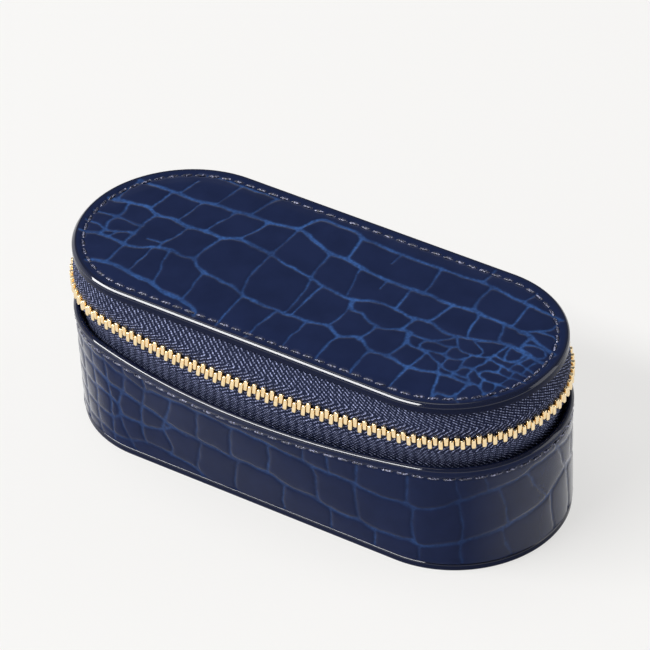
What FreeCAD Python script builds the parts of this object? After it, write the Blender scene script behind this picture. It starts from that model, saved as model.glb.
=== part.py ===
import FreeCAD, Part
import math
import os

# Zip-around leather jewellery case, in millimetres, with +Z up, +X along its length
# and its front at -Y. The origin is the centre of the underside of the base panel.
# Every outline is the lid outline, grown or shrunk, with a bow added to its front.

# Panels and heights
LID_LENGTH = 120.0
LID_WIDTH = 50.0
LID_PANEL_T = 2.2
LID_EDGE_ROUND = 0.8
BASE_PANEL_T = 1.8
BASE_OFFSET = 0.1
BASE_EDGE_ROUND = 0.5
WALL_HEIGHT = 26.5
LOWER_BAND = 7.3
UPPER_BAND = 7.0

# Wall: foot and rim a little outside the lid's outline, front bowed towards the rim
FOOT_OFFSET = 0.3
RIM_OFFSET = 0.65
RIM_BOW = 4.9
RIM_ROUND = 0.6
LEATHER_T = 0.9
WALL_BOARD_T = 1.5
LINING_T = 0.6
FIT_GAP = 0.05

# Zip: tape, teeth and the tuck of the lower tape behind the rim
CHAIN_OFFSET = 0.1
CHAIN_BOW = 3.14
TAPE_T = 0.6
TAPE_TOP_INSET = 1.2
TAPE_TUCK = 6.8
TAPE_DIP = 0.6
TAPE_HALF_GAP = 0.75
CHAIN_ZONE = 3.0
TOOTH_PITCH = 2.25
TOOTH_W = 1.0
TOOTH_T = 2.4
TOOTH_HEAD = 0.55
TOOTH_LEG = 1.9
TOOTH_SLOT_T = 0.8
STOP_W = 1.6
STOP_CAP = 0.5

# Room at each end of the rear hinge strip, for the zip's end stop
END_GAP = 0.2
STOP_CLEAR = 1.2

# Slider, its bridge and its pull tab
SLIDER_LENGTH = 9.0
SLIDER_TAIL_HALF = 2.8
SLIDER_MOUTH_HALF = 3.4
SLIDER_PLATE_T = 0.9
SLIDER_FLANGE = 0.7
SLIDER_CLEAR = 0.15
SLIDER_TAPE_SLOT_T = 1.3
POST_LENGTH = 2.4
POST_HALF = 0.4
BRIDGE_RISE = 1.75
BRIDGE_BAR_R = 0.6
BRIDGE_LEG = 1.1
BRIDGE_SPAN = 5.2
PULL_LENGTH = 19.0
PULL_T = 1.2
PULL_EYE_R = 1.5
PULL_EYE_W = 3.6
PULL_END_W = 6.0
PULL_FIT = 0.05

# Stitching
STITCH_R = 0.25
STITCH_GROOVE = 0.5
STITCH_GROOVE_W = 0.9
LID_STITCH_INSET = 2.6
LID_STITCH_PITCH = 3.1
LID_STITCH_LENGTH = 2.3
RIM_STITCH_DROP = 2.6
RIM_STITCH_PITCH = 3.4
RIM_STITCH_LENGTH = 2.6

# Interior
FLOOR_PAD_T = 1.5
LINING_RIM_DROP = 0.8
LID_LINING_T = 0.8
LID_LINING_INSET = 3.2
DIVIDER_X = 2.0
DIVIDER_T = 1.6
DIVIDER_HEIGHT = 20.0
ROLL_COUNT = 4
ROLL_WIDTH = 10.5
ROLL_HEIGHT = 17.0
ROLL_GAP = 0.4
ROLL_END_CLEAR = 0.4

# Levels that follow from the sizes above
Z_FOOT = BASE_PANEL_T
Z_RIM = Z_FOOT + WALL_HEIGHT
Z_TURN = Z_RIM - TAPE_TUCK
Z_CHAIN = Z_RIM + LOWER_BAND
Z_LID = Z_CHAIN + UPPER_BAND
Z_TOP = Z_LID + LID_PANEL_T
Z_FLOOR = Z_FOOT + FLOOR_PAD_T
END_X = (LID_LENGTH - LID_WIDTH) / 2.0
HALF_W = LID_WIDTH / 2.0
FAR = LID_LENGTH
STRAIGHT_BOW = 1e-6
WALL_STACK = LEATHER_T + WALL_BOARD_T + 2.0 * FIT_GAP
HINGE_HALF = END_X - END_GAP - STOP_W - STOP_CLEAR
CHAIN_MID_R = HALF_W + CHAIN_OFFSET - TAPE_T / 2.0

V = FreeCAD.Vector
UP = V(0.0, 0.0, 1.0)


def mix(low, high, t):
    return low + (high - low) * t


def tangent_angle(offset, bow):
    """Angle at which the right end arc meets the front, from +X about the end centre."""
    if bow < STRAIGHT_BOW:
        return -math.pi / 2.0
    r = HALF_W + offset
    b = r + bow
    front_r = (END_X ** 2 + b ** 2 - r ** 2) / (2.0 * (b - r))
    return math.atan2(-(front_r - b), END_X)


def front_radius(offset, bow):
    r = HALF_W + offset
    b = r + bow
    return (END_X ** 2 + b ** 2 - r ** 2) / (2.0 * (b - r))


def outline_point(offset, bow, z, side, u):
    """A point on one side of the outline: left, front or right, with u running left to right."""
    r = HALF_W + offset
    ang = tangent_angle(offset, bow)
    if side == "front":
        if bow < STRAIGHT_BOW:
            return V(mix(-END_X, END_X, u), -r, z)
        big = front_radius(offset, bow)
        half = math.pi / 2.0 + ang
        turn = mix(-half, half, u)
        return V(big * math.sin(turn), big - r - bow - big * math.cos(turn), z)
    if side == "right":
        a = mix(ang, math.pi / 2.0, u)
        return V(END_X + r * math.cos(a), r * math.sin(a), z)
    a = mix(math.pi / 2.0, ang, u)
    return V(-END_X - r * math.cos(a), r * math.sin(a), z)


def outline(offset, bow, z):
    """Closed wire with round ends, a straight rear and a bowed or straight front."""
    def at(side, u):
        return outline_point(offset, bow, z, side, u)

    left_rear = at("left", 0.0)
    left_front = at("left", 1.0)
    right_front = at("right", 0.0)
    right_rear = at("right", 1.0)
    if bow < STRAIGHT_BOW:
        front = Part.makeLine(left_front, right_front)
    else:
        front = Part.Arc(left_front, at("front", 0.5), right_front).toShape()
    right = Part.Arc(right_front, at("right", 0.5), right_rear).toShape()
    rear = Part.makeLine(right_rear, left_rear)
    left = Part.Arc(left_rear, at("left", 0.5), left_front).toShape()
    return Part.Wire([front, right, rear, left])


def through(sections):
    """Solid through outlines given as (offset, bow, z), straight from each to the next."""
    return Part.makeLoft([outline(*s) for s in sections], True, True)


def inset(sections, depth):
    return [(offset - depth, bow, z) for offset, bow, z in sections]


def ring(sections, outer, inner):
    """Wall between two depths inside the given outlines."""
    return through(inset(sections, outer)).cut(through(inset(sections, inner)))


def plate(offset, low, high):
    return Part.Face(outline(offset, 0.0, low)).extrude(V(0.0, 0.0, high - low))


def box(x0, x1, y0, y1, z0, z1):
    return Part.makeBox(x1 - x0, y1 - y0, z1 - z0, V(x0, y0, z0))


def level_edges(shape, z):
    found = []
    for edge in shape.Edges:
        b = edge.BoundBox
        if abs(b.ZMin - z) < 1e-6 and abs(b.ZMax - z) < 1e-6:
            found.append(edge)
    return found


def wall_section(z):
    t = (z - Z_FOOT) / WALL_HEIGHT
    return (mix(FOOT_OFFSET, RIM_OFFSET, t), mix(0.0, RIM_BOW, t), z)


def tucked_section(z):
    """Outer face of the lower tape behind the rim, drawing back from it towards the top."""
    dip = TAPE_DIP * (z - Z_TURN) / TAPE_TUCK
    return inset([wall_section(z)], 2.0 * LEATHER_T + FIT_GAP + dip)[0]


def chain_lean():
    """Change of offset and bow per millimetre of height where the teeth grip the tape."""
    tucked = tucked_section(Z_RIM)
    offset = (CHAIN_OFFSET - tucked[0]) / LOWER_BAND - (CHAIN_OFFSET + TAPE_TOP_INSET) / UPPER_BAND
    bow = (CHAIN_BOW - tucked[1]) / LOWER_BAND - CHAIN_BOW / UPPER_BAND
    return offset / 2.0, bow / 2.0


def tape_section(z):
    """Outer face of the zip tape at height z: tucked part, flat chain zone, part under the lid."""
    if z <= Z_RIM:
        return tucked_section(z)
    offset_lean, bow_lean = chain_lean()
    rise = max(-CHAIN_ZONE, min(CHAIN_ZONE, z - Z_CHAIN))
    near = (CHAIN_OFFSET + offset_lean * rise, CHAIN_BOW + bow_lean * rise)
    if z < Z_CHAIN - CHAIN_ZONE:
        far = tucked_section(Z_RIM)
        t = (Z_CHAIN - CHAIN_ZONE - z) / (LOWER_BAND - CHAIN_ZONE)
    else:
        far = (-TAPE_TOP_INSET, 0.0)
        t = max(0.0, z - Z_CHAIN - CHAIN_ZONE) / (UPPER_BAND - CHAIN_ZONE)
    return (mix(near[0], far[0], t), mix(near[1], far[1], t), z)


def along(wire, pitch, length, radius):
    """Straight threads laid end to end along a closed wire."""
    count = int(round(wire.Length / pitch))
    points = wire.discretize(Number=2 * count + 1)
    threads = []
    for i in range(count):
        here = points[2 * i]
        run = points[2 * i + 1].sub(points[2 * i - 1 if i else -2])
        run.normalize()
        start = here.sub(V(run).multiply(length / 2.0))
        threads.append(Part.makeCylinder(radius, length, start, run))
    return Part.makeCompound(threads)


# Base panel
def base_leather():
    panel = plate(BASE_OFFSET, 0.0, BASE_PANEL_T)
    edges = level_edges(panel, 0.0) + level_edges(panel, BASE_PANEL_T)
    panel = panel.makeFillet(BASE_EDGE_ROUND, edges)
    return panel.cut(plate(BASE_OFFSET - LEATHER_T, BASE_PANEL_T - LEATHER_T, BASE_PANEL_T + 1.0))


def base_board():
    return plate(BASE_OFFSET - LEATHER_T, BASE_PANEL_T - LEATHER_T, BASE_PANEL_T)


# Wall
def wall_leather():
    """One hide, folded double over the rim, with a sunk channel for its stitches."""
    levels = [wall_section(z) for z in (Z_FOOT, Z_TURN, Z_RIM)]
    wall = through(levels)
    wall = wall.cut(through(inset(levels[:2], LEATHER_T)))
    wall = wall.cut(through(inset(levels[1:], 2.0 * LEATHER_T)))
    wall = wall.makeFillet(RIM_ROUND, level_edges(wall, Z_RIM))
    low = Z_RIM - RIM_STITCH_DROP - STITCH_GROOVE_W / 2.0
    channel = [wall_section(z) for z in (low, low + STITCH_GROOVE_W)]
    return wall.cut(ring(channel, -LEATHER_T, STITCH_GROOVE))


def wall_board():
    levels = [wall_section(z) for z in (Z_FOOT, Z_TURN)]
    depth = LEATHER_T + FIT_GAP
    return ring(levels, depth, depth + WALL_BOARD_T)


def rim_stitching():
    offset, bow, z = wall_section(Z_RIM - RIM_STITCH_DROP)
    wire = outline(offset - STITCH_GROOVE + STITCH_R + FIT_GAP, bow, z)
    return along(wire, RIM_STITCH_PITCH, RIM_STITCH_LENGTH, STITCH_R)


def wall_lining():
    z_top = Z_RIM - LINING_RIM_DROP
    top = inset([tape_section(z_top)], TAPE_T + 2.0 * FIT_GAP)[0]
    levels = inset([wall_section(z) for z in (Z_FLOOR, Z_TURN)], WALL_STACK) + [top]
    return ring(levels, 0.0, LINING_T)


def floor_lining():
    return plate(FOOT_OFFSET - WALL_STACK, Z_FOOT, Z_FLOOR)


# Lid panel
def lid_leather():
    panel = plate(0.0, Z_LID, Z_TOP)
    panel = panel.makeFillet(LID_EDGE_ROUND, level_edges(panel, Z_TOP))
    panel = panel.cut(plate(-LEATHER_T, Z_LID - 1.0, Z_TOP - LEATHER_T))
    outer = plate(-LID_STITCH_INSET + STITCH_GROOVE_W / 2.0, Z_TOP - STITCH_GROOVE, Z_TOP + 1.0)
    inner = plate(-LID_STITCH_INSET - STITCH_GROOVE_W / 2.0, Z_TOP - STITCH_GROOVE, Z_TOP + 1.0)
    return panel.cut(outer.cut(inner))


def lid_board():
    return plate(-LEATHER_T, Z_LID, Z_TOP - LEATHER_T)


def lid_stitching():
    wire = outline(-LID_STITCH_INSET, 0.0, Z_TOP - STITCH_GROOVE + STITCH_R)
    return along(wire, LID_STITCH_PITCH, LID_STITCH_LENGTH, STITCH_R)


def lid_lining():
    return plate(-LID_LINING_INSET, Z_LID - LID_LINING_T, Z_LID)


# Zip tapes and the hinge strip between their ends
def rear_box(x0, x1):
    return box(x0, x1, HALF_W / 4.0, FAR, 0.0, FAR)


def tape_ring(levels):
    return ring([tape_section(z) for z in levels], 0.0, TAPE_T)


def lower_ring():
    return tape_ring((Z_TURN, Z_RIM, Z_CHAIN - CHAIN_ZONE, Z_CHAIN - TAPE_HALF_GAP))


def upper_ring():
    return tape_ring((Z_CHAIN + TAPE_HALF_GAP, Z_CHAIN + CHAIN_ZONE, Z_LID))


def tape_start():
    return HINGE_HALF + END_GAP


def flex_end():
    """Where the lid's own tape ends, just past the tail of the parked slider."""
    return END_X + slider_radii()[3] * math.cos(slider_park() - slider_half()) + 3.0 * END_GAP


def zip_tape_lower():
    return lower_ring().cut(rear_box(-tape_start(), tape_start()))


def zip_tape_upper():
    return upper_ring().cut(rear_box(-flex_end(), flex_end()))


def zip_tape_end(side):
    """Loose last stretch of the upper tape. Past the left stop it also closes the chain gap."""
    near = tape_start()
    far = flex_end() - END_GAP
    if side > 0:
        return upper_ring().common(rear_box(near, far))
    web = tape_ring((Z_CHAIN - TAPE_HALF_GAP + FIT_GAP, Z_CHAIN + TAPE_HALF_GAP))
    web = web.common(rear_box(-far, -near - STOP_W - END_GAP))
    return upper_ring().common(rear_box(-far, -near)).fuse(web).removeSplitter()


def hinge_strip():
    points = []
    for z in (Z_TURN, Z_RIM, Z_CHAIN - CHAIN_ZONE, Z_CHAIN + CHAIN_ZONE, Z_LID):
        points.append(V(-HINGE_HALF, HALF_W + tape_section(z)[0], z))
    back = [p.sub(V(0.0, TAPE_T, 0.0)) for p in reversed(points)]
    face = Part.Face(Part.makePolygon(points + back + points[:1]))
    return face.extrude(V(2.0 * HINGE_HALF, 0.0, 0.0))


# Zip teeth, placed along the chain and leaning with their tape
def chain_side_lengths():
    arc = CHAIN_MID_R * (math.pi / 2.0 - tangent_angle(CHAIN_OFFSET, CHAIN_BOW))
    front = 2.0 * (front_radius(CHAIN_OFFSET, CHAIN_BOW) - TAPE_T / 2.0)
    front *= math.pi / 2.0 + tangent_angle(CHAIN_OFFSET, CHAIN_BOW)
    return arc, front


def chain_place(run):
    """Side and share of that side at a run along the chain from the left rear corner."""
    arc, front = chain_side_lengths()
    if run < arc:
        return "left", run / arc
    if run < arc + front:
        return "front", (run - arc) / front
    return "right", (run - arc - front) / arc


def chain_matrix(run, z_far):
    """Local frame on the chain: x along it, z along the tape towards z_far."""
    side, u = chain_place(run)
    mid = inset([tape_section(Z_CHAIN), tape_section(z_far)], TAPE_T / 2.0)
    here = outline_point(*mid[0], side, u)
    away = outline_point(*mid[1], side, u).sub(here)
    step = 1e-4
    t = outline_point(*mid[0], side, u + step).sub(outline_point(*mid[0], side, u - step))
    t.normalize()
    y = away.cross(t)
    y.normalize()
    d = t.cross(y)
    return FreeCAD.Matrix(t.x, y.x, d.x, here.x, t.y, y.y, d.y, here.y, t.z, y.z, d.z, here.z, 0, 0, 0, 1)


def tooth(width, low):
    body = box(-width / 2.0, width / 2.0, -TOOTH_T / 2.0, TOOTH_T / 2.0, low, TOOTH_LEG)
    slot_low = TAPE_HALF_GAP - FIT_GAP
    return body.cut(box(-width, width, -TOOTH_SLOT_T / 2.0, TOOTH_SLOT_T / 2.0, slot_low, 2.0 * TOOTH_LEG))


def teeth(z_far, shift):
    arc, front = chain_side_lengths()
    first = CHAIN_MID_R * (math.pi / 2.0 - math.acos((flex_end() + TOOTH_W - END_X) / CHAIN_MID_R))
    count = int((2.0 * arc + front - 2.0 * first) / TOOTH_PITCH)
    margin = (2.0 * arc + front - count * TOOTH_PITCH) / 2.0
    shape = tooth(TOOTH_W, -TOOTH_HEAD)
    placed = []
    for i in range(count):
        run = margin + (i + 0.25 + shift) * TOOTH_PITCH
        placed.append(shape.transformGeometry(chain_matrix(run, z_far)))
    return Part.makeCompound(placed)


def zip_end_stops():
    """Two clamps on the lower tape, between the hinge strip and the ends of the zip."""
    z_mid = Z_CHAIN - TAPE_HALF_GAP - (TOOTH_LEG - TAPE_HALF_GAP) / 2.0
    y_mid = HALF_W + tape_section(z_mid)[0] - TAPE_T / 2.0
    clamps = []
    for x in (-1.0, 1.0):
        x_mid = x * (tape_start() + STOP_W / 2.0)
        shape = tooth(STOP_W, TAPE_HALF_GAP - FIT_GAP - STOP_CAP)
        shape.rotate(V(0.0, 0.0, 0.0), V(1.0, 0.0, 0.0), 180.0)
        shape.translate(V(x_mid, y_mid, Z_CHAIN))
        clamps.append(shape)
    return Part.makeCompound(clamps)


# Slider, drawn on the +X side of the right end centre and then turned to its parking place
def slider_radii():
    """Both faces of the inner plate, then of the outer plate, about the right end centre."""
    in_channel = CHAIN_MID_R - TOOTH_T / 2.0 - SLIDER_CLEAR
    out_channel = CHAIN_MID_R + TOOTH_T / 2.0 + SLIDER_CLEAR
    return in_channel - SLIDER_PLATE_T, in_channel, out_channel, out_channel + SLIDER_PLATE_T


def slider_half():
    return SLIDER_LENGTH / 2.0 / CHAIN_MID_R


def slider_park():
    return math.pi / 2.0 - slider_half()


def turned(shape):
    shape.translate(V(END_X, 0.0, Z_CHAIN))
    shape.rotate(V(END_X, 0.0, Z_CHAIN), UP, math.degrees(slider_park()))
    return shape


def drum(inner, outer):
    high = 2.0 * SLIDER_MOUTH_HALF
    low = V(0.0, 0.0, -SLIDER_MOUTH_HALF)
    return Part.makeCylinder(outer, high, low, UP).cut(Part.makeCylinder(inner, high, low, UP))


def slider_plan(trim):
    """Tapered plan of the slider, wider at its mouth, as a prism along the radius."""
    tail = SLIDER_TAIL_HALF - trim
    mouth = SLIDER_MOUTH_HALF - trim
    half = SLIDER_LENGTH / 2.0
    shoulder = half / 3.0
    corner = mouth - SLIDER_FLANGE * 2.0
    right = [V(0, -half, -tail), V(0, shoulder, -mouth), V(0, half - shoulder / 2.0, -mouth), V(0, half, -corner)]
    left = [V(p.x, p.y, -p.z) for p in reversed(right)]
    face = Part.Face(Part.makePolygon(right + left + right[:1]))
    return face.extrude(V(FAR, 0.0, 0.0))


def slider_body():
    r0, r1, r2, r3 = slider_radii()
    plan = slider_plan(0.0)
    flanges = plan.cut(slider_plan(SLIDER_FLANGE))
    slot_in = CHAIN_MID_R - SLIDER_TAPE_SLOT_T / 2.0
    slot_out = CHAIN_MID_R + SLIDER_TAPE_SLOT_T / 2.0
    ends = box(0.0, FAR, -SLIDER_LENGTH / 2.0 + SLIDER_FLANGE, SLIDER_LENGTH / 4.0, -FAR, FAR)
    half = SLIDER_LENGTH / 2.0
    post = box(0.0, FAR, half - 2.0 * SLIDER_FLANGE - POST_LENGTH, half - 2.0 * SLIDER_FLANGE, -POST_HALF, POST_HALF)
    body = plan.common(drum(r0, r1)).fuse(plan.common(drum(r2, r3)))
    body = body.fuse(post.common(drum(r0, r3)))
    body = body.fuse(flanges.common(ends).common(drum(r1, slot_in)))
    body = body.fuse(flanges.common(ends).common(drum(slot_out, r2)))
    return turned(body.removeSplitter())


def bar_radius():
    return slider_radii()[3] + BRIDGE_RISE


def slider_bridge():
    r = bar_radius()
    reach = BRIDGE_SPAN / 2.0 + BRIDGE_LEG / 2.0
    bridge = Part.makeCylinder(BRIDGE_BAR_R, 2.0 * reach, V(r, -reach, 0.0), V(0.0, 1.0, 0.0))
    for side in (-1.0, 1.0):
        y = side * BRIDGE_SPAN / 2.0
        leg = box(0.0, r, y - BRIDGE_LEG / 2.0, y + BRIDGE_LEG / 2.0, -BRIDGE_BAR_R, BRIDGE_BAR_R)
        bridge = bridge.fuse(leg)
    plate_r = slider_radii()[3]
    bridge = bridge.cut(Part.makeCylinder(plate_r, BRIDGE_LEG * 4.0, V(0.0, 0.0, -BRIDGE_LEG * 2.0), UP))
    return turned(bridge)


def pull_tab():
    r = bar_radius()
    y = V(0.0, 1.0, 0.0)
    tip_r = PULL_END_W / 2.0
    tip_z = -PULL_LENGTH + tip_r
    top = PULL_EYE_W / 2.0
    x = r - PULL_T / 2.0
    points = [V(x, -top, -PULL_EYE_R / 2.0), V(x, -tip_r, tip_z), V(x, 0.0, -PULL_LENGTH)]
    points += [V(x, tip_r, tip_z), V(x, top, -PULL_EYE_R / 2.0)]
    tip = Part.Arc(points[1], points[2], points[3]).toShape()
    sides = [Part.makeLine(points[0], points[1]), tip, Part.makeLine(points[3], points[4])]
    sides.append(Part.makeLine(points[4], points[0]))
    blade = Part.Face(Part.Wire(sides)).extrude(V(PULL_T, 0.0, 0.0))
    eye = Part.makeCylinder(PULL_EYE_R, PULL_EYE_W, V(r, -top, 0.0), y)
    tab = blade.fuse(eye).cut(Part.makeCylinder(BRIDGE_BAR_R + PULL_FIT, FAR, V(r, -FAR / 2.0, 0.0), y))
    return turned(tab.removeSplitter())


# Interior
def inner_half_width(x):
    r = HALF_W + FOOT_OFFSET - WALL_STACK - LINING_T
    beyond = max(0.0, abs(x) - END_X)
    return math.sqrt(r ** 2 - beyond ** 2) - ROLL_END_CLEAR


def divider():
    reach = inner_half_width(DIVIDER_X)
    return box(DIVIDER_X, DIVIDER_X + DIVIDER_T, -reach, reach, Z_FLOOR, Z_FLOOR + DIVIDER_HEIGHT)


def ring_roll(index):
    """Upright pad with a round top, the index-th from the divider."""
    x1 = DIVIDER_X - ROLL_GAP - index * (ROLL_WIDTH + ROLL_GAP)
    x0 = x1 - ROLL_WIDTH
    reach = min(inner_half_width(x0), inner_half_width(x1))
    shoulder = Z_FLOOR + ROLL_HEIGHT - ROLL_WIDTH / 2.0
    pad = box(x0, x1, -reach, reach, Z_FLOOR, shoulder)
    crown = Part.makeCylinder(ROLL_WIDTH / 2.0, 2.0 * reach, V((x0 + x1) / 2.0, -reach, shoulder), V(0.0, 1.0, 0.0))
    return pad.fuse(crown).removeSplitter()


def main():
    nodes = {
        "base_board": base_board(),
        "base_leather": base_leather(),
        "wall_board": wall_board(),
        "wall_leather": wall_leather(),
        "rim_stitching": rim_stitching(),
        "wall_lining": wall_lining(),
        "floor_lining": floor_lining(),
        "divider": divider(),
        "lower_zip_tape": zip_tape_lower(),
        "lower_zip_teeth": teeth(Z_CHAIN - CHAIN_ZONE, 0.5),
        "zip_end_stops": zip_end_stops(),
        "hinge_strip": hinge_strip(),
        "zip_tape_end_right": zip_tape_end(1),
        "zip_tape_end_left": zip_tape_end(-1),
        "lid_board": lid_board(),
        "lid_leather": lid_leather(),
        "lid_stitching": lid_stitching(),
        "lid_lining": lid_lining(),
        "upper_zip_tape": zip_tape_upper(),
        "upper_zip_teeth": teeth(Z_CHAIN + CHAIN_ZONE, 0.0),
        "slider_body": slider_body(),
        "slider_bridge": slider_bridge(),
        "pull_tab": pull_tab(),
    }
    for index in range(ROLL_COUNT):
        nodes["ring_roll_%d" % (index + 1)] = ring_roll(index)
    os.makedirs("parts", exist_ok=True)
    for name, shape in nodes.items():
        shape.exportStep("parts/%s.step" % name)


main()
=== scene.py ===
"""Looks of the zip-around leather jewellery case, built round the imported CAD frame.

Sizes are in millimetres, as in the CAD source, and meshes are written in metres.
+X is the case's right end, -Y its front and +Z up.
"""

import math

import bmesh
import bpy
import numpy as np
from mathutils import Matrix, Vector


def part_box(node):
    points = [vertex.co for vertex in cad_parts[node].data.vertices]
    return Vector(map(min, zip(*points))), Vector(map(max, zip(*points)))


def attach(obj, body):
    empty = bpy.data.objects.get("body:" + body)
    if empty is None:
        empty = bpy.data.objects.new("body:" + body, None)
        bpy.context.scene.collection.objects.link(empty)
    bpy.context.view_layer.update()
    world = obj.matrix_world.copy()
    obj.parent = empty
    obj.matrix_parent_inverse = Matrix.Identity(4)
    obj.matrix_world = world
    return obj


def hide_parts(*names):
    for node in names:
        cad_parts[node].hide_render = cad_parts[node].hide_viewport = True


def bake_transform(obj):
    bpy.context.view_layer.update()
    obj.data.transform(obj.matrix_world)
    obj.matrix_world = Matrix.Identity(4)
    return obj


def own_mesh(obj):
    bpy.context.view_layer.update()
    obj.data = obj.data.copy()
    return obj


MM = 0.001

# Levels and outlines of the CAD model
END_X = 35.0
HALF_W = 25.0
BASE_T = 1.8
BASE_OFFSET = 0.1
Z_FOOT = 1.8
Z_RIM = 28.3
Z_TURN = 21.5
Z_CHAIN = 35.6
Z_LID = 42.6
Z_TOP = 44.8
Z_FLOOR = 3.3
FOOT_OFFSET = 0.3
RIM_OFFSET = 0.65
RIM_BOW = 4.9
LEATHER_T = 0.9
WALL_STACK = 2.5
FIT_GAP = 0.05
TAPE_T = 0.6
TAPE_DIP = 0.6
CHAIN_OFFSET = 0.1
CHAIN_BOW = 3.14
TAPE_TOP_INSET = 1.2
CHAIN_ZONE = 3.0
TAPE_GAP = 0.75
TOOTH_PITCH = 2.25
TAPE_START = 32.2
FLEX_END = 45.2
HINGE_HALF = 32.0
LID_STITCH_INSET = 2.6
LID_STITCH_PITCH = 3.1
RIM_STITCH_DROP = 2.6
RIM_STITCH_PITCH = 3.4
LID_LINING_INSET = 3.2
LID_LINING_T = 0.8

# Stations run round the outline from the front's left corner: front, right end, rear, left end
FRONT = 2.0 * END_X
END = math.pi * HALF_W
RIGHT_REAR = FRONT + END
LEFT_REAR = RIGHT_REAR + FRONT
ROUND = LEFT_REAR + END

# Detail of the Blender meshes
TINY = 1e-6
PROBE = 0.05
MESH_STEP = 0.25
BASE_STEP = 0.4
TAPE_STEP = 0.9
EDGE_STEP = 5.0
CURVE_STEP = 0.8
RIPPLE_CELLS = 64

# Leather covers; each *_SHADE value is how much painted shade darkens its part of the hide
LID_CROWN = 0.5
LID_BORDER_DROP = 0.25
LID_PAD_SLOPE = 4.0
LID_REAR_EDGE = 0.5
LID_UNDER = 1.1
LID_BORDER_SHADE = 0.15
LOWER_EDGE_R = 0.4
FOOT_EDGE_R = 0.5
FOOT_SHADE = 0.4
FOLD_GAP = 0.3
RIM_BULGE = 0.12
RIM_SHADE = 0.5
RIM_CREASE_LOSS = 0.7
# The wall gets painted shade all over, which evens out the stronger key light on it than on the lid
WALL_SHADE = 0.35
WALL_CREASE_TONE = 0.55
UNDERSIDE_SHADE = 0.2
BASE_EDGE_SHADE = 0.8

# Glaze on the wall's ends: its strength, how much more the left end has, and where it sets in along x
WALL_END_GLAZE = 0.6
LEFT_GLAZE_GAIN = 1.25
RIGHT_GLAZE = (49.0, 60.0)
LEFT_GLAZE = (-38.0, -50.0)

# Creases: how far their lines shake (size, reach and seed) and web together, and how they sink and fade
LID_CREASE_SHIFT = (-0.38, 0.53)
CREASE_SHAKE = ((2.6, 0.28, 1), (0.8, 0.07, 3))
CREASE_REACH = 3.0
CREASE_WEB = 0.3
CREASE_FADE = (0.22, -0.2)
CREASE_TOP = 26.5
CREASE_FOOT = 1.5
GROOVE_SIDES = (0.5, -0.25)
GROOVE_DEPTH = 0.14
DOME_REACH = 1.5
LID_DOME = 0.03
WALL_DOME = 0.16
UNROLL_BACK = 17.0

# Stitches
STITCH_R = 0.27
STITCH_SINK = 0.18
STITCH_DIP = 0.3
STITCH_BAND = 0.5
LID_STITCH = 2.85
LID_STITCH_SLANT = 5.0
RIM_STITCH = 3.05
RIM_STITCH_SLANT = 4.0
PLY_BULGE = 0.16
PLY_TWIST = 7.0

# Zip: corded tape edge, gap beside the loose tape ends, and the herringbone's band, slope and periods
CORD_R = 0.42
TAPE_END_GAP = 0.2
WEAVE_BAND = 6.4
WEAVE_SLOPE = 1.9
RIB_PERIOD = 1.45
PICK_PERIOD = 0.84
END_PERIOD = 0.8

# Camera fitted to the photograph, in degrees and millimetres
CAMERA_AZIMUTH = 35.6586
CAMERA_ELEVATION = 37.3315
CAMERA_ROLL = -2.9019
CAMERA_TARGET = (-24.5042, 36.512, 0.0)
CAMERA_DISTANCE = 1085.3047
CAMERA_LENS = 261.57

# Floor: colour, strength of its glow, and the share of it that the camera and reflections see as glow
FLOOR_COLOUR = (0.93, 0.922, 0.905)
FLOOR_GLOW = 0.975
FLOOR_GLOW_SHARE = 0.72
FLOOR_HALF = 4000.0

# Edge profiles as arcs: radius, and the tilt of the surface at the arc's start and end
LID_EDGE = ((0.35, 0, 40), (4.0, 40, 50), (0.6, 50, 90))
RIM_EDGE = ((0.3, 0, 40), (2.5, 40, 50), (0.56, 50, 180))
BASE_EDGE = ((0.25, 0, 40), (1.6, 40, 50), (0.4, 50, 90))


def mix(low, high, t):
    return low + (high - low) * t


def ease(low, high, value):
    """0 at low, 1 at high, smooth between."""
    t = np.clip((value - low) / (high - low), 0.0, 1.0)
    return t * t * (3.0 - 2.0 * t)


def ripple(points, size, seed):
    """Smooth noise from -1 to 1 on 2-D points, with features of the given size."""
    table = np.random.RandomState(seed).uniform(-1.0, 1.0, (RIPPLE_CELLS, RIPPLE_CELLS))
    scaled = points / size
    cell = np.floor(scaled).astype(int)
    f = scaled - cell
    f = f * f * (3.0 - 2.0 * f)
    a, b = cell[:, 0] % RIPPLE_CELLS, cell[:, 1] % RIPPLE_CELLS
    c, d = (a + 1) % RIPPLE_CELLS, (b + 1) % RIPPLE_CELLS
    low = mix(table[a, b], table[c, b], f[:, 0])
    high = mix(table[a, d], table[c, d], f[:, 0])
    return mix(low, high, f[:, 1])


def unit(rows):
    return rows / np.linalg.norm(rows, axis=1)[:, None]


def arc(radius, turns):
    """Radius times the cosine and sine of each turn in degrees."""
    angles = [math.radians(turn) for turn in turns]
    return [(radius * math.cos(a), radius * math.sin(a)) for a in angles]


# Outlines
def front_arc(r, bow):
    """Radius of the bowed front's arc, and the angle at which it meets the round ends."""
    b = r + bow
    big = (END_X ** 2 + b * b - r * r) / (2.0 * (b - r))
    return big, math.atan2(-(big - b), END_X)


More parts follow.
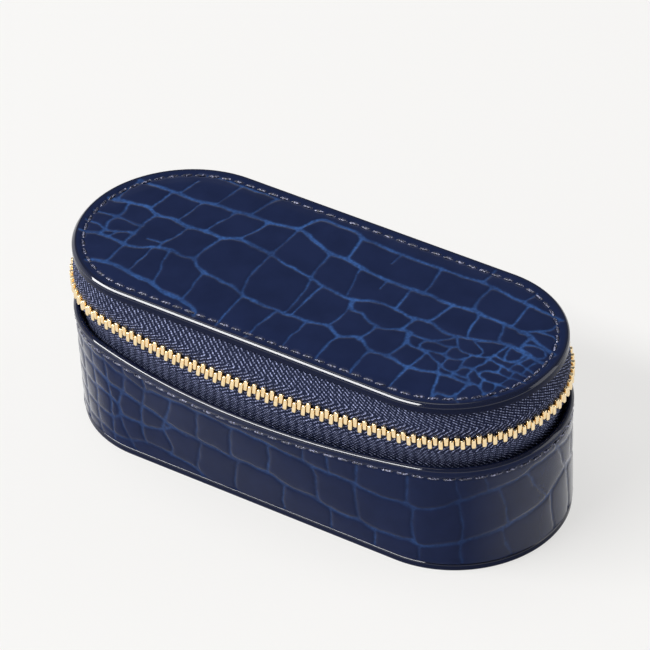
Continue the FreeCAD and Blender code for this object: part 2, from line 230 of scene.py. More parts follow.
def outline(offset, bow, stations):
    """Plan points of the case outline, grown by offset and with its front bowed out."""
    s = np.mod(stations, ROUND)
    r = HALF_W + offset
    angle = -math.pi / 2.0
    x, y = np.empty_like(s), np.empty_like(s)
    front = s < FRONT
    u = s[front] / FRONT
    if bow > TINY:
        big, angle = front_arc(r, bow)
        half = math.pi / 2.0 + angle
        turn = mix(-half, half, u)
        x[front], y[front] = big * np.sin(turn), big - (r + bow) - big * np.cos(turn)
    else:
        x[front], y[front] = mix(-END_X, END_X, u), -r
    right = (s >= FRONT) & (s < RIGHT_REAR)
    a = mix(angle, math.pi / 2.0, (s[right] - FRONT) / END)
    x[right], y[right] = END_X + r * np.cos(a), r * np.sin(a)
    rear = (s >= RIGHT_REAR) & (s < LEFT_REAR)
    x[rear], y[rear] = mix(END_X, -END_X, (s[rear] - RIGHT_REAR) / FRONT), r
    left = s >= LEFT_REAR
    a = mix(math.pi / 2.0, angle, (s[left] - LEFT_REAR) / END)
    x[left], y[left] = -END_X - r * np.cos(a), r * np.sin(a)
    return np.stack([x, y], 1)


def ring(offset, bow, z, stations):
    """Points of an outline at one height, or at a height per station."""
    plan = outline(offset, bow, stations)
    return np.column_stack([plan, np.broadcast_to(z, len(plan))])


def varied_ring(depth, section, z, stations):
    """Outline at height z, moved in along its normal by one depth or by a depth per station."""
    plan = outline(*section, stations)
    along = unit(outline(*section, stations + PROBE) - outline(*section, stations - PROBE))
    inward = np.stack([-along[:, 1], along[:, 0]], 1) * np.broadcast_to(depth, len(plan))[:, None]
    return np.column_stack([plan + inward, np.broadcast_to(z, len(plan))])


def wall_section(z):
    t = (z - Z_FOOT) / (Z_RIM - Z_FOOT)
    return mix(FOOT_OFFSET, RIM_OFFSET, t), mix(0.0, RIM_BOW, t)


def tucked_section(z):
    """Outer face of the lower tape behind the rim, drawing back from it towards the top."""
    offset, bow = wall_section(z)
    dip = TAPE_DIP * (z - Z_TURN) / (Z_RIM - Z_TURN)
    return offset - 2.0 * LEATHER_T - FIT_GAP - dip, bow


def chain_lean():
    """Change of offset and bow per millimetre of height where the teeth grip the tape."""
    offset, bow = tucked_section(Z_RIM)
    below, above = Z_CHAIN - Z_RIM, Z_LID - Z_CHAIN
    lean = (CHAIN_OFFSET - offset) / below - (CHAIN_OFFSET + TAPE_TOP_INSET) / above
    return lean / 2.0, ((CHAIN_BOW - bow) / below - CHAIN_BOW / above) / 2.0


def tape_section(z):
    """Outer face of the zip tape: tucked behind the rim, flat at the chain, drawn in under the lid."""
    if z <= Z_RIM:
        return tucked_section(z)
    lean = chain_lean()
    rise = max(-CHAIN_ZONE, min(CHAIN_ZONE, z - Z_CHAIN))
    near = (CHAIN_OFFSET + lean[0] * rise, CHAIN_BOW + lean[1] * rise)
    if z < Z_CHAIN - CHAIN_ZONE:
        far = tucked_section(Z_RIM)
        t = (Z_CHAIN - CHAIN_ZONE - z) / (Z_CHAIN - CHAIN_ZONE - Z_RIM)
    else:
        far = (-TAPE_TOP_INSET, 0.0)
        t = max(0.0, z - Z_CHAIN - CHAIN_ZONE) / (Z_LID - Z_CHAIN - CHAIN_ZONE)
    return mix(near[0], far[0], t), mix(near[1], far[1], t)


def edge_profile(arcs):
    """Inset and rise of each point along an edge made of arcs, from a vertical side onwards."""
    inset, rise = 0.0, 0.0
    points = []
    for radius, start, end in arcs:
        count = max(2, int(round((end - start) / EDGE_STEP)))
        for i in range(1, count + 1):
            a = math.radians(mix(start, end, (i - 1) / count))
            b = math.radians(mix(start, end, i / count))
            inset += radius * (math.cos(a) - math.cos(b))
            rise += radius * (math.sin(b) - math.sin(a))
            points.append((inset, rise))
    return points


def even_stations(step):
    count = int(round(ROUND / step))
    return np.arange(count) * ROUND / count


def run_along(points):
    """Length along a closed row of points, and its total."""
    steps = np.linalg.norm(np.roll(points, -1, 0) - points, axis=1)
    return np.concatenate([[0.0], np.cumsum(steps)[:-1]]), float(steps.sum())


# Meshes
def add_object(name, data):
    obj = bpy.data.objects.new(name, data)
    bpy.context.scene.collection.objects.link(obj)
    return obj


def piece(name, verts, faces, material, fields=None):
    """Mesh object from points in millimetres, with a named number or vector per point."""
    mesh = bpy.data.meshes.new(name)
    mesh.from_pydata((np.asarray(verts) * MM).tolist(), [], faces)
    for key, values in (fields or {}).items():
        values = np.asarray(values, np.float32)
        kind = "FLOAT" if values.ndim == 1 else "FLOAT_VECTOR"
        field = mesh.attributes.new(key, kind, "POINT")
        field.data.foreach_set("value" if kind == "FLOAT" else "vector", values.ravel())
    mesh.polygons.foreach_set("use_smooth", [True] * len(mesh.polygons))
    mesh.materials.append(material)
    return add_object(name, mesh)


def clean(obj):
    """Welds points that coincide and turns every face outwards."""
    bm = bmesh.new()
    bm.from_mesh(obj.data)
    bmesh.ops.remove_doubles(bm, verts=bm.verts, dist=TINY)
    bmesh.ops.dissolve_degenerate(bm, edges=bm.edges, dist=TINY)
    bmesh.ops.recalc_face_normals(bm, faces=bm.faces)
    bm.to_mesh(obj.data)
    bm.free()
    return obj


def grid_faces(rows, cols, wrap=False, cap=False):
    """Faces between rows of points that each close into a ring; the rows wrap or are capped if asked."""
    faces = []
    for i in range(rows if wrap else rows - 1):
        here, there = i * cols, (i + 1) % rows * cols
        for j in range(cols):
            m = (j + 1) % cols
            faces.append((here + j, here + m, there + m, there + j))
    if cap:
        faces.append(tuple(range(cols - 1, -1, -1)))
        faces.append(tuple(range((rows - 1) * cols, rows * cols)))
    return faces


def skin(name, grid, material, wrap=False, cap=False, fields=None):
    """Surface through rows of points, with fields given in the same rows."""
    grid = np.asarray(grid, float)
    rows, cols = grid.shape[:2]
    flat = {}
    for key, values in (fields or {}).items():
        values = np.asarray(values)
        flat[key] = values.reshape(rows * cols, *values.shape[2:])
    return clean(piece(name, grid.reshape(-1, 3), grid_faces(rows, cols, wrap, cap), material, flat))


def copies(name, points, faces, frames, material):
    """Many copies of one small mesh, each placed by an origin and three axes."""
    verts, all_faces = [], []
    for origin, x, y, z in frames:
        first = len(verts) * len(points)
        verts.append(origin + points[:, :1] * x + points[:, 1:2] * y + points[:, 2:] * z)
        all_faces += [tuple(first + i for i in face) for face in faces]
    return piece(name, np.concatenate(verts), all_faces, material)


def put(obj, body, slot, *nodes):
    """Rides a piece on its body, in place of the CAD nodes that it stands for."""
    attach(obj, body)
    if nodes:
        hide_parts(*nodes)
    return obj


# Crocodile pattern: each crease is a width and the points that its line runs through, drawn one by one.
# On the lid the points are x and y, on the wall a station and a height.
LID_CREASES = [
    (0.8, (-55.5, 12), (-51, 12), (-46.7, 12.2), (-43, 11.9), (-40, 12), (-36.7, 12.7), (-33, 12.9),
     (-30, 13.1), (-26.7, 13.5), (-21.4, 13.5), (-18, 14.3), (-14.6, 14.8), (-11.3, 14), (-7.3, 12.3),
     (-3.3, 10.9), (2, 10.9), (5.3, 9.9), (8.7, 9.5), (12, 9.1), (16.7, 8.9), (20.7, 9.3), (25.3, 9),
     (29.3, 8.7), (34, 9.6), (37.3, 9), (41.3, 9), (45.3, 8.7), (49.3, 8), (52.7, 6.7), (57, 5.4)),
    (0.7, (-14.6, 14.8), (-14, 17), (-13.1, 19.6), (-11.3, 20.7), (-6.7, 20.5), (-3.3, 20.2), (-0.7, 19.1),
     (2.7, 19), (6.7, 18.7), (12, 18.3), (18.7, 18.6), (25.3, 18.6), (30, 19.2), (33.3, 18.5), (38.7, 17.9),
     (42.7, 17.3), (46.7, 17), (52, 16.4)),
    (0.3, (-46, 21), (-41, 22), (-35, 22), (-25, 22)),
    (0.8, (-58, 3.4), (-52.7, 3.8), (-50, 4.3), (-47.7, 4.5), (-44.7, 3), (-40, 3.7), (-36, 3.1),
     (-31.3, 3.5), (-27.3, 3.3), (-24.3, 4.8), (-20, 4.5), (-15, 4)),
    (0.5, (-15, 4), (-10.7, 2.7), (-6.7, 2), (-2.3, 1.5), (1, 0.2), (5.3, -0.5)),
    (0.65, (5.3, -0.5), (8.7, -0.7), (11.3, -0.2), (14, 1.1), (18.7, 1.5), (23.3, 0.7), (28.7, 1.1),
     (32, 0.1), (36, 0), (40, 1), (44.7, 2.7), (48, 3.1), (51.3, 2.5), (57, 1.6)),
    (0.65, (-57, -9.9), (-51.3, -9.1), (-47.3, -9.1), (-43.3, -9.3), (-40.7, -8.5), (-38, -6.7),
     (-34.7, -6.1), (-31.3, -6.5), (-28, -6.3), (-26, -8), (-23.7, -8.9), (-18.7, -9.5), (-14, -10.3),
     (-11.3, -11.5), (-7, -12), (0, -12.1), (5.3, -12), (8.7, -11.3), (10.7, -11), (14, -12.7),
     (17.3, -11.3), (20, -11.7), (22.7, -13.5), (26.7, -13.5), (32.7, -14.2), (36, -13.8), (39.3, -13),
     (43, -12.3), (47, -12.6)),
    (0.5, (10, -0.7), (11.7, -3.6), (14, -3.4), (16.7, -5), (19.3, -5.7), (22, -5.2), (24.7, -4.1),
     (28, -4.3), (32, -4.3), (34.7, -2), (36, -0.2)),
    (0.95, (-48.5, -17.8), (-47.3, -17.3), (-43.3, -16.9), (-39.3, -17.1), (-35.3, -17.7), (-31.3, -17.8),
     (-28, -19), (-24.7, -19.5), (-21.3, -19.7), (-18.7, -20.7), (-16.7, -22.4)),
    (0.2, (-44.2, 18.3), (-45, 12.2)),
    (0.2, (-34.7, 21.7), (-35.7, 12.8)),
    (0.35, (-25.3, 21.6), (-26.8, 15), (-27.2, 13.5)),
    (0.4, (-46.7, 12.2), (-46.8, 9.5), (-47.6, 4.6)),
    (0.6, (-55.8, 12), (-56.3, 8.5), (-56, 3.6)),
    (0.2, (-38.6, 12.3), (-38.9, 8), (-39.3, 3.7)),
    (0.28, (-30.2, 13), (-31, 8.5), (-32, 3.4)),
    (0.38, (-21.4, 13.5), (-22.6, 9), (-24.3, 4.8)),
    (0.36, (-14.6, 14.8), (-14.6, 9), (-14.8, 4)),
    (0.4, (-3.5, 10.9), (-3.1, 5.7), (-2.3, 1.6)),
    (0.5, (-0.8, 19.1), (-0.2, 15), (0.4, 11)),
    (0.45, (-44.7, 3), (-45.4, -1), (-45.3, -4.3), (-44.8, -9.3)),
    (0.45, (-58, -2.3), (-54.5, -2.3), (-52, -1.8), (-48.5, -2.2), (-45.4, -2)),
    (0.4, (-57.6, -6), (-53, -6.5), (-51, -7.2), (-49, -6.4), (-45.2, -5)),
    (0.5, (-52.6, 3.8), (-51.9, 1), (-52, -1.8), (-52.6, -4.5), (-51.4, -7), (-51.8, -9.1)),
    (0.3, (-48.8, -6.4), (-49.6, -9.1)),
    (0.28, (-36, 3.1), (-36.7, -1.7), (-37.7, -4.8), (-37.4, -6.5)),
    (0.35, (-41.4, -4.9), (-39.5, -4.9), (-37.7, -4.8)),
    (0.5, (-27.5, 3.3), (-28, -1.7), (-28.2, -6.3)),
    (0.36, (-14.7, 4), (-14.2, -4.3), (-12.8, -9), (-11.3, -11.5)),
    (0.22, (-2.1, 1.4), (-0.7, -4.3), (-0.4, -12)),
    (0.34, (1.3, 0), (1.3, -6.3), (1.4, -12)),
    (0.34, (-44.8, -9.3), (-44.4, -13), (-44.5, -16.9)),
    (0.22, (-38.4, -7), (-38.2, -12), (-38.4, -17.1)),
    (0.32, (-34.6, -6.2), (-32.7, -12.3), (-30.6, -17.9)),
    (0.36, (-23.8, -8.9), (-22.7, -15), (-21.9, -19.6)),
    (0.36, (-11.3, -11.5), (-11, -17.7), (-10.7, -23.5)),
    (0.36, (-2, -12.1), (-2.7, -17.7), (-3.1, -23.5)),
    (0.16, (10.1, 18.4), (10, 14.5)),
    (0.45, (20.5, 18.7), (21, 14.3), (21.8, 9.2)),
    (0.5, (33.2, 18.5), (33.1, 13.7), (33.9, 9.6)),
    (0.42, (43.5, 17.2), (44, 13), (44.3, 8.8)),
    (0.4, (30.3, 24.5), (30.5, 19.2)),
    (0.3, (42.4, 21.7), (41.8, 17.5)),
    (0.18, (5.2, 9.9), (6, 6.3), (7.9, 0.4)),
    (0.16, (12.3, 9), (12.5, 6)),
    (0.42, (18.7, 9), (19, 5), (19.2, 1.5)),
    (0.55, (29.4, 8.7), (28.7, 3.7), (27.8, 1)),
    (0.42, (35.6, 9.3), (36.6, 7), (37, 4), (38.4, 0.5)),
    (0.45, (42.4, 8.9), (43.6, 6.5), (44, 4.5), (45, 3)),
    (0.3, (49.6, 7.8), (50, 4.5), (50.3, 2.9)),
    (0.34, (10, -0.7), (10.8, -5), (10.5, -11)),
    (0.45, (19.4, -5.7), (19, -9.7), (18.6, -11.4)),
    (0.42, (24.8, 0.7), (24.5, -4.1)),
    (0.55, (26.6, -4.2), (27.4, -6), (27.5, -9.7), (26.8, -13.5)),
    (0.4, (26.8, -5), (27.6, -6.6), (29.5, -7.8), (32.5, -7.9)),
    (0.34, (33.6, -7.6), (33.2, -12), (32.8, -14.2)),
    (0.2, (5.7, -12), (5.5, -21.8)),
    (0.28, (14, -12.7), (14, -18), (14.4, -22)),
    (0.5, (22.8, -13.5), (22.8, -18.3), (23.4, -22)),
    (0.45, (32.8, -14.2), (32.8, -18), (33.1, -22)),
    (0.5, (39.6, -13), (41.3, -17), (42.6, -20)),
    (0.36, (36.3, -0.3), (38, -2.5), (40, -3.8), (43.5, -3.6), (45.8, -3)),
    (0.3, (40.5, 0.3), (42.5, -0.8), (44, -2.2), (43.5, -3.6)),
    (0.42, (47, 2.7), (46.8, 0), (46.3, -2.5), (45.8, -5), (45, -7.5), (45.2, -10), (46.5, -12),
     (46.8, -15), (46.2, -17.5), (43, -18.3), (42.4, -20)),
    (0.3, (48, 2.9), (48.3, 0.5), (49, -1.6)),
    (0.3, (51.6, 2.2), (52, 0), (50.5, -1.6)),
    (0.3, (46.5, -1.5), (49, -1.8), (52, -1.2), (55, -1.8), (57.5, -2.2)),
    (0.34, (46.2, -3.3), (50, -3.8), (53, -4), (57, -4)),
    (0.28, (53.2, 1.5), (52.6, -0.5), (51.6, -2.6), (51.8, -3.9)),
    (0.28, (55.2, 0.9), (54.6, -1.6), (54.8, -4)),
    (0.3, (49.5, -3.8), (49.8, -6), (47.5, -6.8), (46.8, -8.5), (48.5, -9.5), (52, -9.6), (55.5, -8.8)),
    (0.28, (49.8, -6), (53, -6.2), (56.8, -6)),
    (0.26, (53, -4), (53.4, -6.2), (52.6, -9.6)),
    (0.3, (45, -7.5), (46.8, -8.5)),
    (0.3, (48.6, -9.5), (49.4, -12), (51.5, -13.5), (54, -12.5)),
    (0.3, (46.5, -12), (49.4, -12.1)),
    (0.26, (52, -9.6), (52.6, -11.6), (51.5, -13.5)),
    (0.28, (51.5, -13.5), (50.6, -16)),
    (0.3, (33, -4), (36, -4.1), (38, -3.2)),
    (0.36, (31.5, -4.4), (30.8, -6.5), (32.5, -7.8), (35, -7), (37, -6.5), (38.5, -7.2), (41, -6.3),
     (42, -5), (42, -3.8)),
    (0.28, (37, -4), (37, -6.5)),
    (0.28, (41.6, -6), (42.5, -8.5), (42.2, -10.8)),
    (0.28, (38.4, -7.2), (38.6, -10)),
    (0.3, (42.4, -8.3), (45, -7.8)),
    (0.38, (32.5, -7.9), (36, -9), (38.5, -10.2), (41, -11), (45.4, -10.8)),
    (0.28, (38.2, -10.3), (39.2, -12.8)),
    (0.28, (42, -11), (42.4, -12.1)),
    (0.36, (46.3, -16.6), (48.5, -18.6)),
    (0.3, (50, 4.5), (52, 5.8), (55, 5), (55.8, 3.2), (53.2, 2.1), (50.6, 3)),
    (0.3, (46.8, 8.4), (50, 10.3), (52, 13), (51.2, 16.4)),
    (0.28, (50.2, 10.4), (53.5, 10.8), (56, 9)),
]
WALL_CREASES = [
    (0.6, (-98, 20), (-84, 20.5), (-72, 22.6), (-50, 23.5), (-30, 24), (-14, 24.2), (-5.4, 24), (0.3, 23.9),
     (3.1, 22.8), (5.3, 23.4), (10.3, 22.1), (12.4, 22.9), (16.7, 23.3), (20.3, 23.9), (24.6, 24),
     (30.3, 23.7), (34.6, 23.5), (38.9, 22.9), (41.7, 22.2), (45.3, 21.4), (48.1, 20.8), (52.4, 19.9),
     (58.1, 19), (63.1, 17.6), (68.9, 17.2), (71.7, 16.5), (74.6, 16.9), (77.4, 17.7), (81, 19.4),
     (84.6, 20.8), (88.1, 21.4), (91, 21.7), (95.3, 22.7), (98.9, 23.6), (104, 23.9), (113, 22.4),
     (125, 20), (140, 18.6), (160, 19.4), (180, 20.6), (202, 20)),
    (0.75, (-72, 19.4), (-50, 20), (-30, 20.2), (-14, 20.3), (-6.1, 19.9), (-2.6, 19), (1.7, 17.9),
     (4.6, 17.6), (7.4, 17.2), (11, 16.5), (13.1, 15.4), (15.3, 14.7), (20.3, 14.2), (26, 13.7), (31, 13.3),
     (38.6, 12.8), (41.7, 11.3), (45.3, 10.4), (49.6, 9.9), (53.1, 8.7), (57.4, 7.9), (60.3, 8.1),
     (63.9, 6.9), (68.1, 6.9), (72.4, 7.1), (75.3, 6.3), (78.9, 6.9), (83.9, 8.3), (88.9, 9.4),
     (93.9, 10.8), (98.9, 11.7), (103.1, 12.4), (106, 13.7), (110.3, 15.2), (114, 15.4), (124, 12.6),
     (138, 9.6), (155, 9), (175, 10.4), (202, 10.8)),
    (0.6, (-98, 10.8), (-84, 12), (-72, 14.6), (-40, 15), (-14, 14.7), (-8.3, 14.7), (-2.6, 14.7),
     (0.2, 13), (0.4, 10.8)),
    (0.45, (-72, 9.4), (-40, 9.6), (-14, 9.4), (-6.9, 9), (-1.9, 9.2), (0.4, 10.8), (5.3, 10.8),
     (8.9, 11.3), (12.4, 12.2), (15.3, 14.7)),
    (0.4, (-72, 4.6), (-40, 4.4), (-10.4, 4.4), (-4, 4), (-1.1, 4), (1, 4.4), (4.6, 5.3), (7.4, 5.6),
     (11.7, 5.4), (16, 4.7), (19.6, 3), (20.5, 1.5)),
    (0.45, (5.4, 26.5), (5.3, 23.4), (3.9, 19.7), (1.7, 15.4), (0.3, 12.6), (-0.1, 6.9), (2, 1.5)),
    (0.45, (10.9, 26.5), (10.6, 22.1), (8.5, 17.4), (7.1, 14.7), (6, 10.8), (5.6, 5.4)),
    (0.45, (17.4, 23.3), (15.3, 18.3), (13.4, 15.2), (12.4, 12), (13, 7.6), (11.7, 5.4)),
    (0.4, (24, 24), (22.8, 19), (21.5, 14.1)),
    (0.4, (22.4, 14), (20.6, 9), (18.9, 4.7), (19.4, 1.5)),
    (0.4, (31.8, 23.6), (30.6, 19), (29.8, 13.4)),
    (0.4, (31.5, 13.3), (29.6, 6.9), (28.3, 1.5)),
    (0.4, (40, 22.6), (39.7, 18.3), (38.4, 12.9)),
    (0.34, (42.5, 11), (41.7, 6.2), (41, 1.5)),
    (0.3, (47.5, 26.5), (47.2, 21)),
    (0.45, (49, 20.6), (50.1, 17.6), (50.1, 13.3), (50.4, 9.8)),
    (0.36, (53.4, 8.6), (53.9, 1.5)),
    (0.24, (52.6, 26), (52.8, 19.8)),
    (0.3, (58.5, 26.5), (58.7, 19)),
    (0.4, (58.3, 19), (59.2, 13.3), (60.4, 8.1)),
    (0.36, (64.4, 6.9), (64.9, 1.5)),
    (0.42, (68, 27), (68.7, 22.6), (69.5, 17.2)),
    (0.5, (71.4, 16.5), (72.1, 11.9), (73.4, 7)),
    (0.34, (75.3, 6.3), (75.6, 1.5)),
    (0.34, (78.9, 26), (80.3, 21.9), (81.6, 19.6)),
    (0.38, (80.8, 19.3), (82.4, 15.4), (84, 8.4)),
    (0.34, (83.9, 8.3), (84.2, 6.2), (85.2, 1.5)),
    (0.26, (85.6, 25.4), (87.4, 21.3)),
    (0.38, (89.8, 21.6), (91.7, 18.3), (93.1, 14), (94, 10.8)),
    (0.34, (92.6, 10.4), (94.6, 5.4), (96.4, 1.5)),
    (0.3, (96.6, 23), (99.6, 19), (104.4, 13)),
    (0.3, (105.3, 26), (108.5, 22), (112.5, 15.4)),
    (0.28, (105.8, 13.5), (107.5, 7), (109, 1.5)),
]
# Stations of the plain crosses that join the wall's rows where nothing is drawn for them
LEFT_COLUMNS = (-70.5, -65.2, -60, -54.6, -49.4, -44, -38.8, -33.6, -28.2, -23, -17.8, -12.4, -7.2, -1.9)
REAR_HIGH = (-92, -82, 119, 128, 139, 150, 159, 170, 181, 192)
REAR_MIDDLE = (-95, -86, -77, 117, 127, 136, 146, 157, 167, 176, 187, 197)
REAR_LOW = (-89, -79, 115, 125, 134, 145, 155, 164, 175, 186, 195)


def curve_points(points):
    """Points along a smooth curve through the given ones."""
    p = np.asarray(points, float)
    p = np.vstack([2.0 * p[0] - p[1], p, 2.0 * p[-1] - p[-2]])
    found = []
    for a, b, c, d in zip(p[:-3], p[1:-2], p[2:-1], p[3:]):
        count = max(2, int(np.linalg.norm(c - b) / CURVE_STEP))
        t = np.arange(count)[:, None] / count
        found.append(0.5 * (2 * b + (c - a) * t + (2 * a - 5 * b + 4 * c - d) * t ** 2
                            + (3 * b - a - 3 * c + d) * t ** 3))
    return np.vstack(found + [p[-2:-1]])


def curves(creases):
    """Width and curve of each drawn crease."""
    return [(crease[0], curve_points(crease[1:])) for crease in creases]


def wall_lines():
    """The wall's drawn creases, with columns of small scales at the left end and tall ones at the rear."""
    rng = np.random.RandomState(11)
    lines = curves(WALL_CREASES)
    for s in LEFT_COLUMNS:
        low, middle, high = rng.uniform(-0.5, 0.5, 3)
        path = [(s + 2.2 + high, CREASE_TOP), (s + 1.2, 20.0), (s + middle, 13.0)]
        path += [(s - 1.6, 7.0), (s - 2.4 + low, CREASE_FOOT)]
        lines.append((rng.uniform(0.38, 0.5), curve_points(path)))

    def level(row, s):
        xs, zs = zip(*WALL_CREASES[row][1:])
        return float(np.interp(s, xs, zs))

    def middle_row(s):
        return level(1, s) if s > 0.0 else level(2, s)

    for stations, top, bottom in (
        (REAR_HIGH, lambda s: CREASE_TOP, lambda s: level(0, s)),
        (REAR_MIDDLE, lambda s: level(0, s), middle_row),
        (REAR_LOW, middle_row, lambda s: CREASE_FOOT),
    ):
        for s in stations:
            lean, bend = rng.uniform(-0.4, 1.6), rng.uniform(-0.5, 0.5)
            high, low = top(s - lean), bottom(s + lean)
            path = [(s - lean, high), (s + bend, (high + low) / 2.0), (s + lean, low)]
            lines.append((rng.uniform(0.3, 0.5), curve_points(path)))
    return lines


def crease_distance(points, lines):
    """Distance to the nearest crease's side, below zero inside it, with webbed corners."""
    shake = np.zeros(points.shape)
    for size, reach, seed in CREASE_SHAKE:
        shake += np.stack([ripple(points, size, seed), ripple(points, size, seed + 1)], 1) * reach
    p = points + shake
    total = np.full(len(p), 1e-9)
    for width, path in lines:
        low, high = path.min(0) - CREASE_REACH, path.max(0) + CREASE_REACH
        near = np.where(((p > low) & (p < high)).all(1))[0]
        q = p[near]
        best = np.full(len(q), 3.0 * CREASE_REACH)
        for a, b in zip(path[:-1], path[1:]):
            ab = b - a
            t = np.clip(((q - a) @ ab) / (ab @ ab), 0.0, 1.0)
            best = np.minimum(best, np.linalg.norm(q - a - t[:, None] * ab, axis=1))
        total[near] += np.exp(-(best - width / 2.0) / CREASE_WEB)
    return -CREASE_WEB * np.log(total) + 0.11 * ripple(points, 1.7, 5)


def crease_mask(distance):
    return ease(*CREASE_FADE, distance)


def crease_depth(distance, dome):
    """Groove of each crease, and scales that swell by dome towards their middles."""
    groove = GROOVE_DEPTH * ease(*GROOVE_SIDES, distance)
    return groove + dome * np.exp(-np.maximum(distance, 0.0) / DOME_REACH)


# Materials
class Nodes:
    """Node tree of a material or world, with short ways to add what the looks need."""

    def __init__(self, owner):
        owner.use_nodes = True
        self.tree = owner.node_tree

    def feed(self, socket, value):
        """Links an output to a socket, or sets a plain value on it."""
        if isinstance(value, bpy.types.NodeSocket):
            self.tree.links.new(value, socket)
        else:
            socket.default_value = value

    def add(self, kind, inputs=None, **settings):
        made = self.tree.nodes.new("ShaderNode" + kind)
        for key, value in settings.items():
            setattr(made, key, value)
        for key, value in (inputs or {}).items():
            self.feed(made.inputs[key], value)
        return made

    def attribute(self, name, output="Fac"):
        return self.add("Attribute", attribute_name=name).outputs[output]

    def place(self):
        return self.add("TexCoord").outputs["Object"]

    def noise(self, per_metre, detail):
        inputs = {"Vector": self.place(), "Scale": per_metre, "Detail": detail}
        return self.add("TexNoise", inputs).outputs["Fac"]

    def math(self, operation, a, b=0.0):
        return self.add("Math", {0: a, 1: b}, operation=operation).outputs[0]

    def times(self, a, b):
        return self.math("MULTIPLY", a, b)

    def plus(self, a, b):
        return self.math("ADD", a, b)

    def wave(self, value, period):
        return self.math("SINE", self.times(value, 2.0 * math.pi / period))

    def fit(self, value, low, high, to_low=0.0, to_high=1.0):
        inputs = {"Value": value, "From Min": low, "From Max": high, "To Min": to_low, "To Max": to_high}
        return self.add("MapRange", inputs).outputs["Result"]

    def blend(self, factor, a, b):
        """Colour from a to b by a factor."""
        a, b = (c if isinstance(c, bpy.types.NodeSocket) else (*c, 1.0) for c in (a, b))
        return self.add("Mix", {0: factor, 6: a, 7: b}, data_type="RGBA").outputs[2]


class Surface(Nodes):
    """Material whose shader gets plain values on its own sockets, and links where a value varies."""

    def __init__(self, name, colour, roughness, values=None):
        self.material = bpy.data.materials.new(name)
        super().__init__(self.material)
        self.shader = self.tree.nodes["Principled BSDF"]
        self.set({"Base Color": (*colour, 1.0), "Roughness": roughness, **(values or {})})

    def set(self, values):
        for key, value in values.items():
            self.feed(self.shader.inputs[key], value)

    def bump(self, height, distance):
        made = self.add("Bump", {"Height": height, "Distance": distance, "Strength": 1.0})
        self.set({"Normal": made.outputs["Normal"]})


def patent_material(tile, crease, border):
    """Glazed crocodile-embossed hide: dark scales, paler blue creases, and near-black painted shade on edges,
    sides, undersides, folds and the wall.
    """
    hide = Surface("patent_leather", tile, 0.14, {"Specular IOR Level": 0.05, "Coat Roughness": 0.03})
    mask = hide.attribute("crease")
    cloud = hide.fit(hide.noise(160.0, 3.0), 0.35, 0.65)
    fleck = hide.fit(hide.noise(1500.0, 3.0), 0.3, 0.66, 0.4, 1.0)
    worn = hide.fit(hide.noise(110.0, 2.0), 0.38, 0.62, 0.4, 1.0)
    tiles = hide.blend(cloud, tile, tuple(0.84 * c for c in tile))
    lined = hide.blend(hide.times(mask, hide.times(fleck, worn)), tiles, crease)
    hide.set({
        # Painted shade: the per-point amount mixes the colour towards the near-black shade colour
        "Base Color": hide.blend(hide.attribute("border"), lined, border),
        "Roughness": hide.fit(mask, 0.0, 1.0, 0.13, 0.32),
        "Coat Weight": hide.attribute("glaze"),
    })
    hide.bump(hide.noise(700.0, 2.0), 0.000008)
    return hide.material


def smooth_leather_material():
    """Plain glazed hide of the hinge strip, with a fine pebbled grain."""
    hide = Surface("hinge_leather", (0.012, 0.017, 0.05), 0.24)
    grain = hide.add("TexVoronoi", {"Vector": hide.place(), "Scale": 1100.0}).outputs["Distance"]
    hide.set({
        "Base Color": hide.blend(hide.fit(grain, 0.1, 0.6), (0.008, 0.011, 0.034), (0.016, 0.024, 0.066)),
        "Roughness": hide.fit(grain, 0.0, 0.7, 0.36, 0.2),
    })
    hide.bump(grain, 0.00005)
    return hide.material


def thread_material():
    """Waxed navy thread; pale flecks painted into its colour stand for glints along its strands."""
    values = {"Specular IOR Level": 0.3, "Coat Weight": 0.5, "Coat Roughness": 0.1}
    thread = Surface("thread", (0.03, 0.036, 0.09), 0.25, values)
    fibre = thread.noise(2600.0, 3.0)
    thread.set({
        # Pale lavender flecks in the colour are painted glints
        "Base Color": thread.blend(thread.fit(fibre, 0.5, 0.66), (0.006, 0.008, 0.027), (0.34, 0.35, 0.52)),
        "Roughness": thread.fit(fibre, 0.3, 0.7, 0.38, 0.16),
    })
    thread.bump(fibre, 0.00004)
    return thread.material


def tape_material():
    """Herringbone weave in millimetres along and across the tape: diagonal ribs broken into short floats,
    paler where raised, partly the weave's pattern and partly painted sheen.
    """
    cloth = Surface("zip_tape", (0.02, 0.022, 0.055), 0.6, {"Specular IOR Level": 0.1})
    split = cloth.add("SeparateXYZ", {"Vector": cloth.attribute("weave", "Vector")}).outputs
    u, v = split["X"], split["Y"]
    wander = cloth.times(cloth.noise(400.0, 2.0), 0.2)
    fold = cloth.math("PINGPONG", cloth.plus(v, 1.5 * WEAVE_BAND), WEAVE_BAND)
    slope = cloth.plus(cloth.times(fold, WEAVE_SLOPE), wander)
    rib = cloth.wave(cloth.plus(u, slope), RIB_PERIOD)
    knit = cloth.times(cloth.wave(v, PICK_PERIOD), cloth.wave(u, END_PERIOD))
    height = cloth.times(cloth.plus(rib, knit), 0.8)
    fleck = cloth.fit(cloth.noise(1500.0, 2.0), 0.38, 0.62, 0.25, 1.0)
    # Paler raised floats: partly the weave's own pattern, partly painted sheen on the tops of the yarns
    pale = cloth.times(cloth.fit(height, 0.3, 1.1), fleck)
    cloth.set({"Base Color": cloth.blend(pale, (0.009, 0.0135, 0.038), (0.40, 0.44, 0.70))})
    cloth.bump(height, 0.0001)
    return cloth.material


